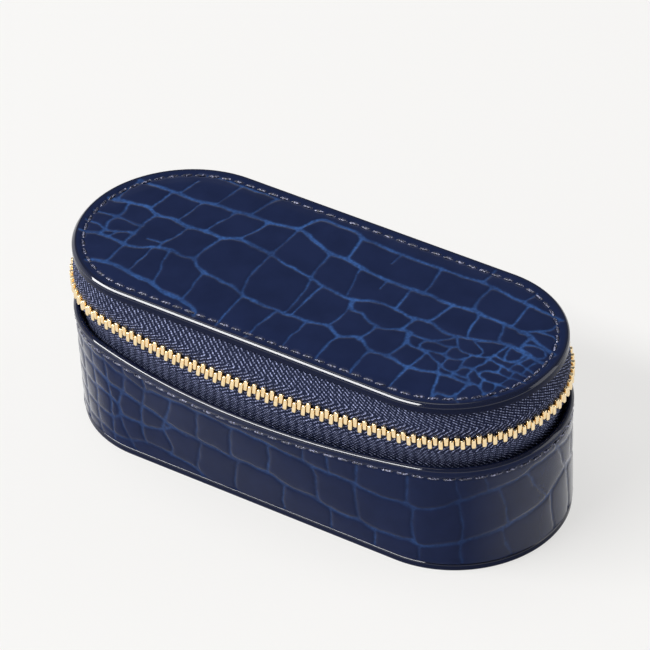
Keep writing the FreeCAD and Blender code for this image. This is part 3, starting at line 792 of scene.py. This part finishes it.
def gold_material():
    """Polished pale gold plate, a little scuffed."""
    gold = Surface("zip_metal", (1.0, 0.8, 0.5), 0.24, {"Metallic": 1.0})
    scuff = gold.noise(1500.0, 4.0)
    gold.set({
        "Base Color": gold.blend(gold.fit(scuff, 0.3, 0.7), (1.0, 0.83, 0.54), (0.93, 0.70, 0.39)),
        "Roughness": gold.fit(scuff, 0.3, 0.7, 0.12, 0.24),
    })
    gold.bump(scuff, 0.000012)
    return gold.material


def suede_material(name, dark, pale):
    """Brushed suede: mottled nap with a soft sheen."""
    values = {"Sheen Weight": 0.5, "Sheen Roughness": 0.4, "Specular IOR Level": 0.15}
    suede = Surface(name, pale, 0.9, values)
    nap = suede.noise(3000.0, 4.0)
    mottle = suede.plus(suede.times(nap, 0.6), suede.times(suede.noise(130.0, 3.0), 0.5))
    suede.set({"Base Color": suede.blend(suede.fit(mottle, 0.35, 0.75), dark, pale)})
    suede.bump(nap, 0.00012)
    return suede.material


def board_material():
    board = Surface("board", (0.30, 0.25, 0.19), 0.85)
    fibre = board.noise(900.0, 4.0)
    shade = board.blend(board.fit(fibre, 0.3, 0.7), (0.24, 0.19, 0.14), (0.36, 0.30, 0.23))
    board.set({"Base Color": shade})
    board.bump(fibre, 0.00005)
    return board.material


# Leather covers
def stitch_pull(plan, pitch):
    """How far the leather is pulled in along a stitch line: most at the needle holes."""
    run, total = run_along(plan)
    count = round(total / pitch)
    return 0.65 - 0.35 * np.cos(2.0 * math.pi * (run / total * count))


def stitch_dip(pull, distance):
    """Depth of the line that stitches press into the hide, at a distance across it."""
    return STITCH_DIP * math.exp(-(distance / STITCH_BAND) ** 2) * pull


class Cover:
    """Rows of a leather cover, with how far each point is in a crease, how much painted shade darkens it and
    its edge glaze.
    """

    def __init__(self, step):
        self.stations = even_stations(step)
        self.rows, self.crease, self.border, self.glaze = [], [], [], []

    def add(self, row, crease, border, glaze=0.0):
        count = len(self.stations)
        self.rows.append(row)
        self.crease.append(np.broadcast_to(crease, count))
        self.border.append(np.broadcast_to(border, count))
        self.glaze.append(np.broadcast_to(glaze, count))

    def level(self, inset, z, crease, border, glaze=0.0):
        self.add(ring(-inset, 0.0, z, self.stations), crease, border, glaze)

    def skin(self, name, mat, wrap=False):
        fields = {"crease": self.crease, "border": self.border, "glaze": self.glaze}
        return skin(name, self.rows, mat, wrap, fields=fields)


def lid_height(inset):
    """Height of the lid's top face, inset from its edge: low edge band, stitched line, padded middle."""
    rise = LID_BORDER_DROP * ease(LID_STITCH_INSET, LID_STITCH_INSET + LID_PAD_SLOPE, inset)
    return float(Z_TOP + LID_CROWN - LID_BORDER_DROP + rise)


def lid_cover(mat):
    """Lid leather: hidden underside, rounded lower edge, turned edge and crocodile top."""
    cover = Cover(MESH_STEP)
    lines = curves(LID_CREASES)
    pull = stitch_pull(outline(-LID_STITCH_INSET, 0.0, cover.stations), LID_STITCH_PITCH)
    inner, under = LEATHER_T + LOWER_EDGE_R, Z_TOP - LID_UNDER
    # Painted shade: underside, lower edge and turned edge are painted near-black, the band outside the
    # stitches a little darker
    for inset, z in ((HALF_W, under), (inner, under), (inner, Z_LID + FOLD_GAP), (inner - FOLD_GAP, Z_LID)):
        cover.level(inset, z, 0.0, 1.0)
    for x, y in arc(LOWER_EDGE_R, range(80, -1, -20)):
        cover.level(LOWER_EDGE_R - x, Z_LID + LOWER_EDGE_R - y, 0.0, 1.0)
    edge = edge_profile(LID_EDGE)
    edge_inset, edge_rise = edge[-1]
    side = outline(0.0, 0.0, cover.stations)[:, 1]
    share = mix(1.0, LID_REAR_EDGE, ease(-0.6 * HALF_W, 0.4 * HALF_W, side))
    for index, (inset, rise) in enumerate([(0.0, 0.0)] + edge):
        row = varied_ring(inset * share, (0.0, 0.0), 0.0, cover.stations)
        row[:, 2] = lid_height(0.0) - (edge_rise - rise) * share
        cover.add(row, 0.0, 1.0, float(index > 0))
    first = edge_inset + MESH_STEP
    for inset in np.linspace(first, HALF_W, int((HALF_W - first) / MESH_STEP)):
        distance = crease_distance(outline(-inset, 0.0, cover.stations) + LID_CREASE_SHIFT, lines)
        outside = float(ease(LID_STITCH_INSET + 0.2, LID_STITCH_INSET - 0.3, inset))
        dip = stitch_dip(pull, inset - LID_STITCH_INSET)
        z = lid_height(inset) - dip - crease_depth(distance, LID_DOME)
        cover.level(inset, z, crease_mask(distance), LID_BORDER_SHADE * outside)
    return cover.skin("lid_cover", mat)


def wall_profile():
    """Depth and height of the wall leather's foot, heights of its outer face, and its fold to the inside."""
    foot = [(LEATHER_T, Z_FOOT)]
    for x, y in arc(FOOT_EDGE_R, range(90, 9, -20)):
        foot.append((FOOT_EDGE_R - x, Z_FOOT + FOOT_EDGE_R - y))
    edge = edge_profile(RIM_EDGE)
    start = Z_RIM - max(rise for inset, rise in edge)
    low = Z_FOOT + FOOT_EDGE_R
    outer = np.linspace(low, start, int((start - low) / MESH_STEP))
    over = [(inset, start + rise) for inset, rise in edge]
    rim_t, end = over[-1]
    inside = [(rim_t, z) for z in np.linspace(end - FOLD_GAP, Z_TURN, 8)]
    inside += [(LEATHER_T, Z_TURN - FOLD_GAP), (LEATHER_T, (Z_TURN + Z_FOOT) / 2.0)]
    return foot, outer, over + inside


def wall_cover(mat):
    """Wall leather: crocodile outside, plain above the stitches, folded over the rim."""
    cover = Cover(MESH_STEP)
    count = len(cover.stations)
    unrolled = np.where(cover.stations < LEFT_REAR - UNROLL_BACK, cover.stations, cover.stations - ROUND)
    lines = wall_lines()
    z_stitch = Z_RIM - RIM_STITCH_DROP
    pull = stitch_pull(outline(*wall_section(z_stitch), cover.stations), RIM_STITCH_PITCH)
    foot, outer, inside = wall_profile()
    # Painted shade: the foot, the whole wall, the plain band above the stitches and the fold inside the rim
    # each get their own amount
    for depth, z in foot:
        cover.add(varied_ring(depth, wall_section(z), z, cover.stations), 0.0, FOOT_SHADE)
    for z in outer:
        distance = crease_distance(np.stack([unrolled, np.full(count, z)], 1), lines)
        above = float(ease(z_stitch - 0.4, z_stitch + 0.4, z))
        shown = 1.0 - RIM_CREASE_LOSS * above
        bulge = RIM_BULGE * float(ease(z_stitch, z_stitch + 1.0, z))
        inward = crease_depth(distance, WALL_DOME) * shown - bulge
        inward = inward + stitch_dip(pull, z - z_stitch)
        row = varied_ring(inward, wall_section(z), z, cover.stations)
        x = row[:, 0]
        ends = ease(*RIGHT_GLAZE, x) + LEFT_GLAZE_GAIN * ease(*LEFT_GLAZE, x)
        glaze = WALL_END_GLAZE * (1.0 - above) * ends
        crease = crease_mask(distance) * shown * WALL_CREASE_TONE
        cover.add(row, crease, mix(WALL_SHADE, RIM_SHADE, above), glaze)
    for depth, z in inside:
        inward = depth - RIM_BULGE * float(ease(0.8, 0.0, depth))
        glaze = float(ease(0.75, 0.55, depth))
        cover.add(varied_ring(inward, wall_section(z), z, cover.stations), 0.0, 1.0, glaze)
    return cover.skin("wall_cover", mat, wrap=True)


def base_cover(mat):
    """Base panel: round-edged plate whose underside carries the same crocodile pattern."""
    cover = Cover(BASE_STEP)
    lines = curves(LID_CREASES)
    # Painted shade: the hidden top and round edges are painted near-black, the lowest edge a little less, the
    # underside slightly
    cover.level(HALF_W, BASE_T, 0.0, 1.0)
    edge = edge_profile(BASE_EDGE)
    start = BASE_T - edge[-1][1]
    for inset, rise in reversed(edge):
        cover.level(inset - BASE_OFFSET, start + rise, 0.0, 1.0, 1.0)
    cover.level(-BASE_OFFSET, start, 0.0, 1.0)
    for x, y in arc(LOWER_EDGE_R, range(0, 81, 20)):
        cover.level(LOWER_EDGE_R - x - BASE_OFFSET, LOWER_EDGE_R - y, 0.0, BASE_EDGE_SHADE)
    for inset in np.linspace(0.5, HALF_W, int(HALF_W / BASE_STEP)):
        distance = crease_distance(outline(-inset, 0.0, cover.stations), lines)
        cover.level(inset, crease_depth(distance, 0.0), crease_mask(distance), UNDERSIDE_SHADE)
    return cover.skin("base_cover", mat)


# Stitching
def stitch_mesh(length):
    """One stitch: two plies twisted together, arched, with both ends going down into the hide."""
    around, steps = 10, 13
    points = []
    for i in range(steps):
        t = i / (steps - 1) * 2.0 - 1.0
        thick = STITCH_R * math.sqrt(max(0.04, 1.0 - abs(t) ** 7))
        sink = -STITCH_R * 1.1 * abs(t) ** 5
        for j in range(around):
            a = 2.0 * math.pi * j / around
            r = thick * (1.0 + PLY_BULGE * math.cos(2.0 * a + PLY_TWIST * t))
            points.append((t * length / 2.0, r * math.cos(a), sink + r * math.sin(a)))
    return np.array(points), grid_faces(steps, around, cap=True)


def stitch_frames(points, normals, pitch, slant):
    """Origin and axes of each stitch along a closed row of points, with the hide's normals there."""
    run, total = run_along(points)
    count = round(total / pitch)
    closed = np.vstack([points, points[:1]])
    outwards = np.vstack([normals, normals[:1]])
    at = np.concatenate([run, [total]])
    tilt = math.radians(slant)

    def sample(values, where):
        return np.array([np.interp(where % total, at, values[:, k]) for k in range(3)])

    frames = []
    for i in range(count):
        here = (i + 0.5) / count * total
        x = sample(closed, here + 0.2) - sample(closed, here - 0.2)
        x /= np.linalg.norm(x)
        z = sample(outwards, here)
        z /= np.linalg.norm(z)
        y = np.cross(z, x)
        x, y = x * math.cos(tilt) + y * math.sin(tilt), y * math.cos(tilt) - x * math.sin(tilt)
        frames.append((sample(closed, here), x, y, z))
    return frames


def lid_stitches(mat):
    stations = even_stations(MESH_STEP)
    points = ring(-LID_STITCH_INSET, 0.0, lid_height(LID_STITCH_INSET) - STITCH_SINK, stations)
    normals = np.tile((0.0, 0.0, 1.0), (len(points), 1))
    frames = stitch_frames(points, normals, LID_STITCH_PITCH, LID_STITCH_SLANT)
    return copies("lid_stitches", *stitch_mesh(LID_STITCH), frames, mat)


def rim_stitches(mat):
    stations = even_stations(MESH_STEP)
    z = Z_RIM - RIM_STITCH_DROP
    section = wall_section(z)
    points = varied_ring(STITCH_SINK, section, z, stations)
    normals = varied_ring(-1.0, section, z, stations) - points
    frames = stitch_frames(points, normals, RIM_STITCH_PITCH, RIM_STITCH_SLANT)
    return copies("rim_stitches", *stitch_mesh(RIM_STITCH), frames, mat)


# Zip
def tape_profile(low, high, edge):
    """Loop of inward depths and heights round a tape; edge is +1 or -1 for its corded side, high or low."""
    outer = [(0.0, z) for z in np.linspace(low, high, 15)]
    inner = [(TAPE_T, z) for z in np.linspace(high, low, 8)]
    cord_z = high if edge > 0 else low
    cord = [(TAPE_T / 2.0 - x, cord_z + edge * y) for x, y in arc(CORD_R, range(20, 180, 20))]
    return outer + cord + inner if edge > 0 else outer + inner + cord[::-1]


def tape(name, mat, profile, first, last):
    """Woven strip along the outline between two stations, with its weave's place in millimetres."""
    count = int((last - first) / TAPE_STEP)
    stations = np.linspace(first, last, count)
    rows, weave = [], []
    for depth, z in profile:
        offset, bow = tape_section(z)
        rows.append(ring(offset - depth, bow, z, stations))
        weave.append(np.column_stack([stations, np.full(count, z - Z_CHAIN), np.full(count, depth)]))
    grid, weave = (np.array(part).transpose(1, 0, 2) for part in (rows, weave))
    return skin(name, grid, mat, cap=True, fields={"weave": weave})


def rear_station(x):
    """Station on the rear half of the outline where the tape passes x."""
    if abs(x) <= END_X:
        return RIGHT_REAR + (END_X - x)
    beyond = math.acos((abs(x) - END_X) / (HALF_W - TAPE_TOP_INSET)) / (math.pi / 2.0)
    quarter = END / 2.0
    return FRONT + quarter * (1.0 + beyond) if x > 0 else LEFT_REAR + quarter * (1.0 - beyond)


def chain_frames(z_far, shift):
    """Place of each tooth along the chain, leaning with its tape."""
    (offset, bow), far = tape_section(Z_CHAIN), tape_section(z_far)
    mid_r = HALF_W + offset - TAPE_T / 2.0
    big, angle = front_arc(HALF_W + offset, bow)
    end = mid_r * (math.pi / 2.0 - angle)
    front = 2.0 * (big - TAPE_T / 2.0) * (math.pi / 2.0 + angle)
    first = mid_r * (math.pi / 2.0 - math.acos((FLEX_END + 1.0 - END_X) / mid_r))
    total = 2.0 * end + front
    count = int((total - 2.0 * first) / TOOTH_PITCH)
    margin = (total - count * TOOTH_PITCH) / 2.0
    runs = margin + (np.arange(count) + 0.25 + shift) * TOOTH_PITCH
    stations = np.interp(runs, [0.0, end, end + front, total], [-END, 0.0, FRONT, RIGHT_REAR])
    mid = ring(offset - TAPE_T / 2.0, bow, Z_CHAIN, stations)
    away = ring(far[0] - TAPE_T / 2.0, far[1], z_far, stations) - mid
    x = unit(ring(offset, bow, 0.0, stations + PROBE) - ring(offset, bow, 0.0, stations - PROBE))
    y = unit(np.cross(away, x))
    return list(zip(mid, x, y, np.cross(x, y)))


# Height past the chain's centre line, width and thickness of each ring of a tooth
TOOTH_RINGS = [(-0.7, 0.66, 1.7), (-0.62, 0.88, 2.1), (-0.4, 0.95, 2.26), (0.15, 0.96, 2.3), (0.5, 1.0, 2.36),
               (0.75, 1.06, 2.4), (1.4, 1.06, 2.4), (1.54, 0.98, 2.3), (1.6, 0.82, 2.05)]


def tooth_mesh():
    """Cast tooth: rounded head past the centre line, waist, and a leg that clamps the tape."""
    corner = [(1.0, 0.6), (0.95, 0.8), (0.8, 0.93), (0.35, 1.0)]
    loop = corner + [(-x, y) for x, y in reversed(corner)]
    loop += [(-x, -y) for x, y in corner] + [(x, -y) for x, y in reversed(corner)]
    points = [(x * w / 2.0, y * t / 2.0, z) for z, w, t in TOOTH_RINGS for x, y in loop]
    return np.array(points), grid_faces(len(TOOTH_RINGS), len(loop), cap=True)


def tooth_row(name, mat, z_far, shift):
    row = clean(copies(name, *tooth_mesh(), chain_frames(z_far, shift), mat))
    row.data.set_sharp_from_angle(angle=math.radians(50.0))
    return row


def softened(name, node_name, mat, width):
    """Copy of a CAD node with its sharp edges rounded."""
    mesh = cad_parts[node_name].data.copy()
    obj = add_object(name, mesh)
    bm = bmesh.new()
    bm.from_mesh(mesh)
    bmesh.ops.remove_doubles(bm, verts=bm.verts, dist=TINY)
    bmesh.ops.dissolve_limit(bm, angle_limit=math.radians(2.0), verts=bm.verts, edges=bm.edges)
    sharp = [e for e in bm.edges if len(e.link_faces) == 2 and e.calc_face_angle() > math.radians(35.0)]
    bmesh.ops.bevel(
        bm, geom=sharp, offset=width * MM, segments=2, profile=0.5, affect="EDGES", clamp_overlap=True
    )
    bm.to_mesh(mesh)
    bm.free()
    mesh.materials.clear()
    mesh.materials.append(mat)
    mesh.polygons.foreach_set("use_smooth", [True] * len(mesh.polygons))
    mesh.set_sharp_from_angle(angle=math.radians(40.0))
    return obj


def hinge_strip(mat):
    """Leather strip at the rear, from behind the rim up to the lid, with softened side edges."""
    levels = np.linspace(Z_TURN, Z_LID, 41)
    loop = [(tape_section(z)[0], z) for z in levels]
    loop += [(tape_section(z)[0] - TAPE_T, z) for z in levels[::-1]]
    soft = 0.8
    rows = []
    for x in np.linspace(-HINGE_HALF, HINGE_HALF, 61):
        thin = 1.0 - 0.5 * max(0.0, (abs(x) - HINGE_HALF + soft) / soft) ** 2
        row = []
        for offset, z in loop:
            middle = tape_section(z)[0] - TAPE_T / 2.0
            row.append((x, HALF_W + middle + (offset - middle) * thin, z))
        rows.append(row)
    return skin("hinge_leather_strip", rows, mat, cap=True)


# Interior
def lining_panel(name, mat, offset, low, high, crown):
    """Soft panel over a board: round edges, a sewn line running round near its edge and a padded middle."""
    coarse, fine = 1.2, 0.35
    stations = even_stations(coarse)
    rows = [ring(-HALF_W, 0.0, low, stations), ring(offset - 0.3, 0.0, low, stations)]
    r = (high - low) / 2.0
    for x, y in arc(r, range(-60, 91, 15)):
        rows.append(ring(offset - r + x, 0.0, low + r + y, stations))
    inset = -offset + r + 0.4
    seam = -offset + 2.4
    while inset < HALF_W:
        plan = outline(-inset, 0.0, stations)
        sew = 0.35 * math.exp(-((inset - seam) / 0.5) ** 2)
        soft = 0.05 * ripple(plan, 7.0, 21) + crown * float(ease(seam, seam + 8.0, inset))
        rows.append(ring(-inset, 0.0, high - sew + soft, stations))
        inset += fine if inset < seam + 1.6 else coarse
    rows.append(ring(-HALF_W, 0.0, high + crown, stations))
    return skin(name, rows, mat)


def wall_lining(mat):
    """Suede inside the wall, rounded over at its top and gently uneven on its inner face."""
    stations = even_stations(1.0)
    low, top, r = Z_FLOOR - 0.4, Z_RIM - 0.8, 0.3
    loop = [(0.6, z) for z in np.linspace(low, top, 24)]
    loop += [(r + x, top + y) for x, y in arc(r, range(30, 180, 30))]
    loop += [(0.0, z) for z in np.linspace(top, low, 8)]
    rows = []
    for depth, z in loop:
        offset, bow = wall_section(z)
        offset -= WALL_STACK
        if z > Z_TURN:
            offset = tape_section(z)[0] - TAPE_T - 0.1
        soft = 0.0
        if depth > r:
            soft = 0.06 * ripple(np.stack([stations, np.full(len(stations), z)], 1), 6.0, 31)
        rows.append(varied_ring(depth + soft, (offset, bow), z, stations))
    return skin("wall_suede", rows, mat, wrap=True)


def rounded_box(low, high, r):
    """Rows of an upright pad along y: a section with a half-round top, drawn in at both ends."""
    (x0, y0, z0), (x1, y1, z1) = low, high
    half = (x1 - x0) / 2.0
    shoulder = z1 - half
    section = [(-half + r, z0), (half - r, z0), (half, z0 + r)]
    section += [(half, z) for z in np.linspace(z0 + 2.0 * r, shoulder, 8)]
    section += [(x, shoulder + z) for x, z in arc(half, range(10, 180, 10))]
    section += [(-half, z) for z in np.linspace(shoulder, z0 + 2.0 * r, 8)] + [(-half, z0 + r)]
    section = np.array(section)
    middle = np.array([0.0, (z0 + z1) / 2.0])
    end_r = 1.8
    ends = [0.0, 0.12, 0.35, 0.7, 1.2, end_r]
    ys = [y0 + e for e in ends] + list(np.linspace(y0 + 2.6, y1 - 2.6, 24)) + [y1 - e for e in reversed(ends)]
    rows = []
    for y in ys:
        from_end = min(y - y0, y1 - y)
        shrink = end_r * (1.0 - math.sqrt(max(0.0, 1.0 - (1.0 - min(1.0, from_end / end_r)) ** 2)))
        scale = 1.0 - shrink / np.array([half, (z1 - z0) / 2.0]) * 0.55
        shape = middle + (section - middle) * scale
        shape[:, 1] = np.maximum(shape[:, 1], z0)
        rows.append(np.column_stack([(x0 + x1) / 2.0 + shape[:, 0], np.full(len(shape), y), shape[:, 1]]))
    return np.array(rows)


def ring_roll(index, mat):
    """Suede-covered foam roll, gently uneven."""
    low, high = np.array(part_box("ring_roll_%d" % index)) / MM
    rows = rounded_box(low, high, 0.9)
    flat = rows.reshape(-1, 3)
    centre = np.array([(low[0] + high[0]) / 2.0, 0.0, high[2] - (high[0] - low[0]) / 2.0])
    push = 0.07 * ripple(flat[:, 1:] + index * 31.0, 5.0, 41)
    push = push + 0.05 * ripple(flat[:, :2] + index * 17.0, 3.0, 43)
    out = flat - centre
    out[:, 1] = 0.0
    out /= np.linalg.norm(out, axis=1)[:, None] + TINY
    above = ease(low[2] + 0.5, low[2] + 3.0, flat[:, 2])
    flat = flat + out * (push * above - 0.08)[:, None]
    return skin("ring_pad_%d" % index, flat.reshape(rows.shape), mat, cap=True)


def divider_board(mat):
    low, high = np.array(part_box("divider")) / MM
    return skin("divider_suede", rounded_box(low, high, 0.2), mat, cap=True)


# Camera, light and floor
def make_camera():
    """Long lens, from the front right and above."""
    angles = (CAMERA_AZIMUTH, CAMERA_ELEVATION, CAMERA_ROLL)
    azimuth, elevation, roll = (math.radians(angle) for angle in angles)
    back = Vector((
        math.sin(azimuth) * math.cos(elevation),
        -math.cos(azimuth) * math.cos(elevation),
        math.sin(elevation),
    ))
    right = (-back).cross(Vector((0.0, 0.0, 1.0))).normalized()
    up = right.cross(-back)
    x = right * math.cos(roll) + up * math.sin(roll)
    y = up * math.cos(roll) - right * math.sin(roll)
    data = bpy.data.cameras.new("camera")
    data.sensor_width = 36.0
    data.lens = CAMERA_LENS
    data.clip_start, data.clip_end = 0.05, 20.0
    camera = add_object("camera", data)
    matrix = Matrix((x, y, back)).transposed().to_4x4()
    matrix.translation = Vector(CAMERA_TARGET) * MM + back * CAMERA_DISTANCE * MM
    camera.matrix_world = matrix
    bpy.context.scene.camera = camera


def softbox(name, direction, along, distance, size, power):
    """Area lamp in a direction from the case, with its long side running along a second direction."""
    data = bpy.data.lights.new(name, "AREA")
    data.shape = "RECTANGLE"
    data.size, data.size_y = size
    data.energy = power
    z = Vector(direction).normalized()
    y = z.cross(Vector(along)).normalized()
    matrix = Matrix((y.cross(z), y, z)).transposed().to_4x4()
    matrix.translation = z * distance + Vector((0.0, 0.0, 0.03))
    add_object(name, data).matrix_world = matrix


def make_world():
    """Pale walls round the table, dimmer overhead."""
    world = bpy.data.worlds.new("studio")
    bpy.context.scene.world = world
    sky = Nodes(world)
    height = sky.add("SeparateXYZ", {"Vector": sky.add("TexCoord").outputs["Generated"]}).outputs["Z"]
    background = sky.tree.nodes["Background"].inputs
    shade = sky.blend(sky.fit(height, 0.22, 0.5), (0.95, 0.95, 0.96), (0.13, 0.135, 0.15))
    sky.feed(background["Color"], shade)
    background["Strength"].default_value = 1.0


def make_floor():
    """Near-white table that mostly glows for the camera and reflections, so its shadow stays light."""
    table = Surface("floor", FLOOR_COLOUR, 0.8, {"Specular IOR Level": 0.0})
    path = table.add("LightPath").outputs
    seen = table.math("MAXIMUM", path["Is Camera Ray"], path["Is Glossy Ray"])
    seen = table.math("MAXIMUM", seen, path["Is Transmission Ray"])
    glow = table.add("Emission", {"Color": (*FLOOR_COLOUR, 1.0), "Strength": FLOOR_GLOW}).outputs[0]
    share = table.times(seen, FLOOR_GLOW_SHARE)
    mixed = table.add("MixShader", {0: share, 1: table.shader.outputs[0], 2: glow}).outputs[0]
    table.feed(table.tree.nodes["Material Output"].inputs["Surface"], mixed)
    half = FLOOR_HALF
    corners = [(-half, -half, 0), (half, -half, 0), (half, half, 0), (-half, half, 0)]
    floor = piece("floor", corners, [(0, 1, 2, 3)], table.material)


def dress():
    """Makes every piece and puts it in place of its CAD node."""
    # The third colour is the near-black painted shade for lid sides, undersides, folds, the rim band and the
    # wall
    patent = patent_material(
        tile=(0.0130, 0.0208, 0.0625), crease=(0.04, 0.11, 0.32), border=(0.006, 0.009, 0.028)
    )
    hinge_hide = smooth_leather_material()
    thread = thread_material()
    weave = tape_material()
    gold = gold_material()
    suede = suede_material("lining", (0.20, 0.17, 0.14), (0.36, 0.31, 0.26))
    pad = suede_material("ring_pad", (0.24, 0.205, 0.17), (0.42, 0.365, 0.31))
    board = board_material()
    for name in ("base_board", "wall_board", "lid_board"):
        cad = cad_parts[name].data
        cad.materials.clear()
        cad.materials.append(board)

    put(lid_cover(patent), "lid", "patent_leather", "lid_leather")
    put(wall_cover(patent), "base", "patent_leather", "wall_leather")
    put(base_cover(patent), "base", "patent_leather", "base_leather")
    put(lid_stitches(thread), "lid", "thread", "lid_stitching")
    put(rim_stitches(thread), "base", "thread", "rim_stitching")

    start, flex = rear_station(-TAPE_START) - ROUND, rear_station(-FLEX_END) - ROUND
    last, flex_last = rear_station(TAPE_START), rear_station(FLEX_END)
    low = tape_profile(Z_TURN, Z_CHAIN - TAPE_GAP - CORD_R, 1)
    high = tape_profile(Z_CHAIN + TAPE_GAP + CORD_R, Z_LID, -1)
    put(tape("lower_tape_weave", weave, low, start, last), "base", "zip_tape", "lower_zip_tape")
    put(tape("upper_tape_weave", weave, high, flex, flex_last), "lid", "zip_tape", "upper_zip_tape")
    snug = tape_profile(Z_CHAIN - TAPE_GAP + CORD_R + TAPE_END_GAP, Z_LID, -1)
    left_end = tape("tape_end_left", weave, snug, start, flex - TAPE_END_GAP)
    right_end = tape("tape_end_right", weave, high, flex_last + TAPE_END_GAP, last)
    strip = hinge_strip(hinge_hide)
    for obj, slot, cad in (
        (left_end, "zip_tape", "zip_tape_end_left"),
        (strip, "hinge_leather", "hinge_strip"),
    ):
        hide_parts(cad)
        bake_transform(obj)
    put(right_end, "lid", "zip_tape", "zip_tape_end_right")
    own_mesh(right_end)
    put(tooth_row("lower_teeth", gold, Z_CHAIN - CHAIN_ZONE, 0.5), "base", "zip_metal", "lower_zip_teeth")
    put(tooth_row("upper_teeth", gold, Z_CHAIN + CHAIN_ZONE, 0.0), "lid", "zip_metal", "upper_zip_teeth")
    put(softened("end_stops", "zip_end_stops", gold, 0.12), "base", "zip_metal", "zip_end_stops")
    put(softened("slider_shell", "slider_body", gold, 0.14), "slider", "zip_metal", "slider_body")
    put(softened("slider_loop", "slider_bridge", gold, 0.14), "slider", "zip_metal", "slider_bridge")
    put(softened("zip_pull", "pull_tab", gold, 0.2), "pull", "zip_metal", "pull_tab")

    lining = put(wall_lining(suede), "base", "lining", "wall_lining")
    floor_pad = lining_panel("floor_suede", suede, FOOT_OFFSET - WALL_STACK, Z_FOOT, Z_FLOOR, 0.0)
    put(floor_pad, "base", "lining", "floor_lining")
    lid_pad = lining_panel("lid_suede", suede, -LID_LINING_INSET, -Z_LID, -Z_LID + LID_LINING_T, 0.25)
    lid_pad.data.transform(Matrix.Scale(-1.0, 4, (0.0, 0.0, 1.0)))
    lid_pad.data.flip_normals()
    put(lid_pad, "lid", "lining", "lid_lining")
    put(divider_board(suede), "base", "lining", "divider")
    for index in range(1, 5):
        roll = put(ring_roll(index, pad), "base", "ring_pad", "ring_roll_%d" % index)


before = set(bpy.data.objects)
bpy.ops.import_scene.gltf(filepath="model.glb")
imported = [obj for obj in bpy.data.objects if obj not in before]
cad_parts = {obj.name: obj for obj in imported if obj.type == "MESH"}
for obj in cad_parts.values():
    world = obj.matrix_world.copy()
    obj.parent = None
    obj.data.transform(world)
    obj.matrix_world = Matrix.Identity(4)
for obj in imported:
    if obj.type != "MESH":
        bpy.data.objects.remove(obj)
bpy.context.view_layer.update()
bpy.context.scene.view_settings.view_transform = "Standard"
make_camera()
make_world()
softbox("key", (-0.50, -0.57, 0.652), (-0.84, 0.40, -0.367), distance=3.0, size=(3.2, 0.5), power=97.0)
softbox("top", (-0.3, 0.0, 0.95), (1.0, 0.0, 0.0), distance=2.5, size=(1.6, 1.6), power=15.5)
softbox("fill", (0.75, 0.55, 0.40), (0.0, 0.0, 1.0), distance=3.0, size=(1.5, 1.5), power=10.0)
make_floor()
dress()
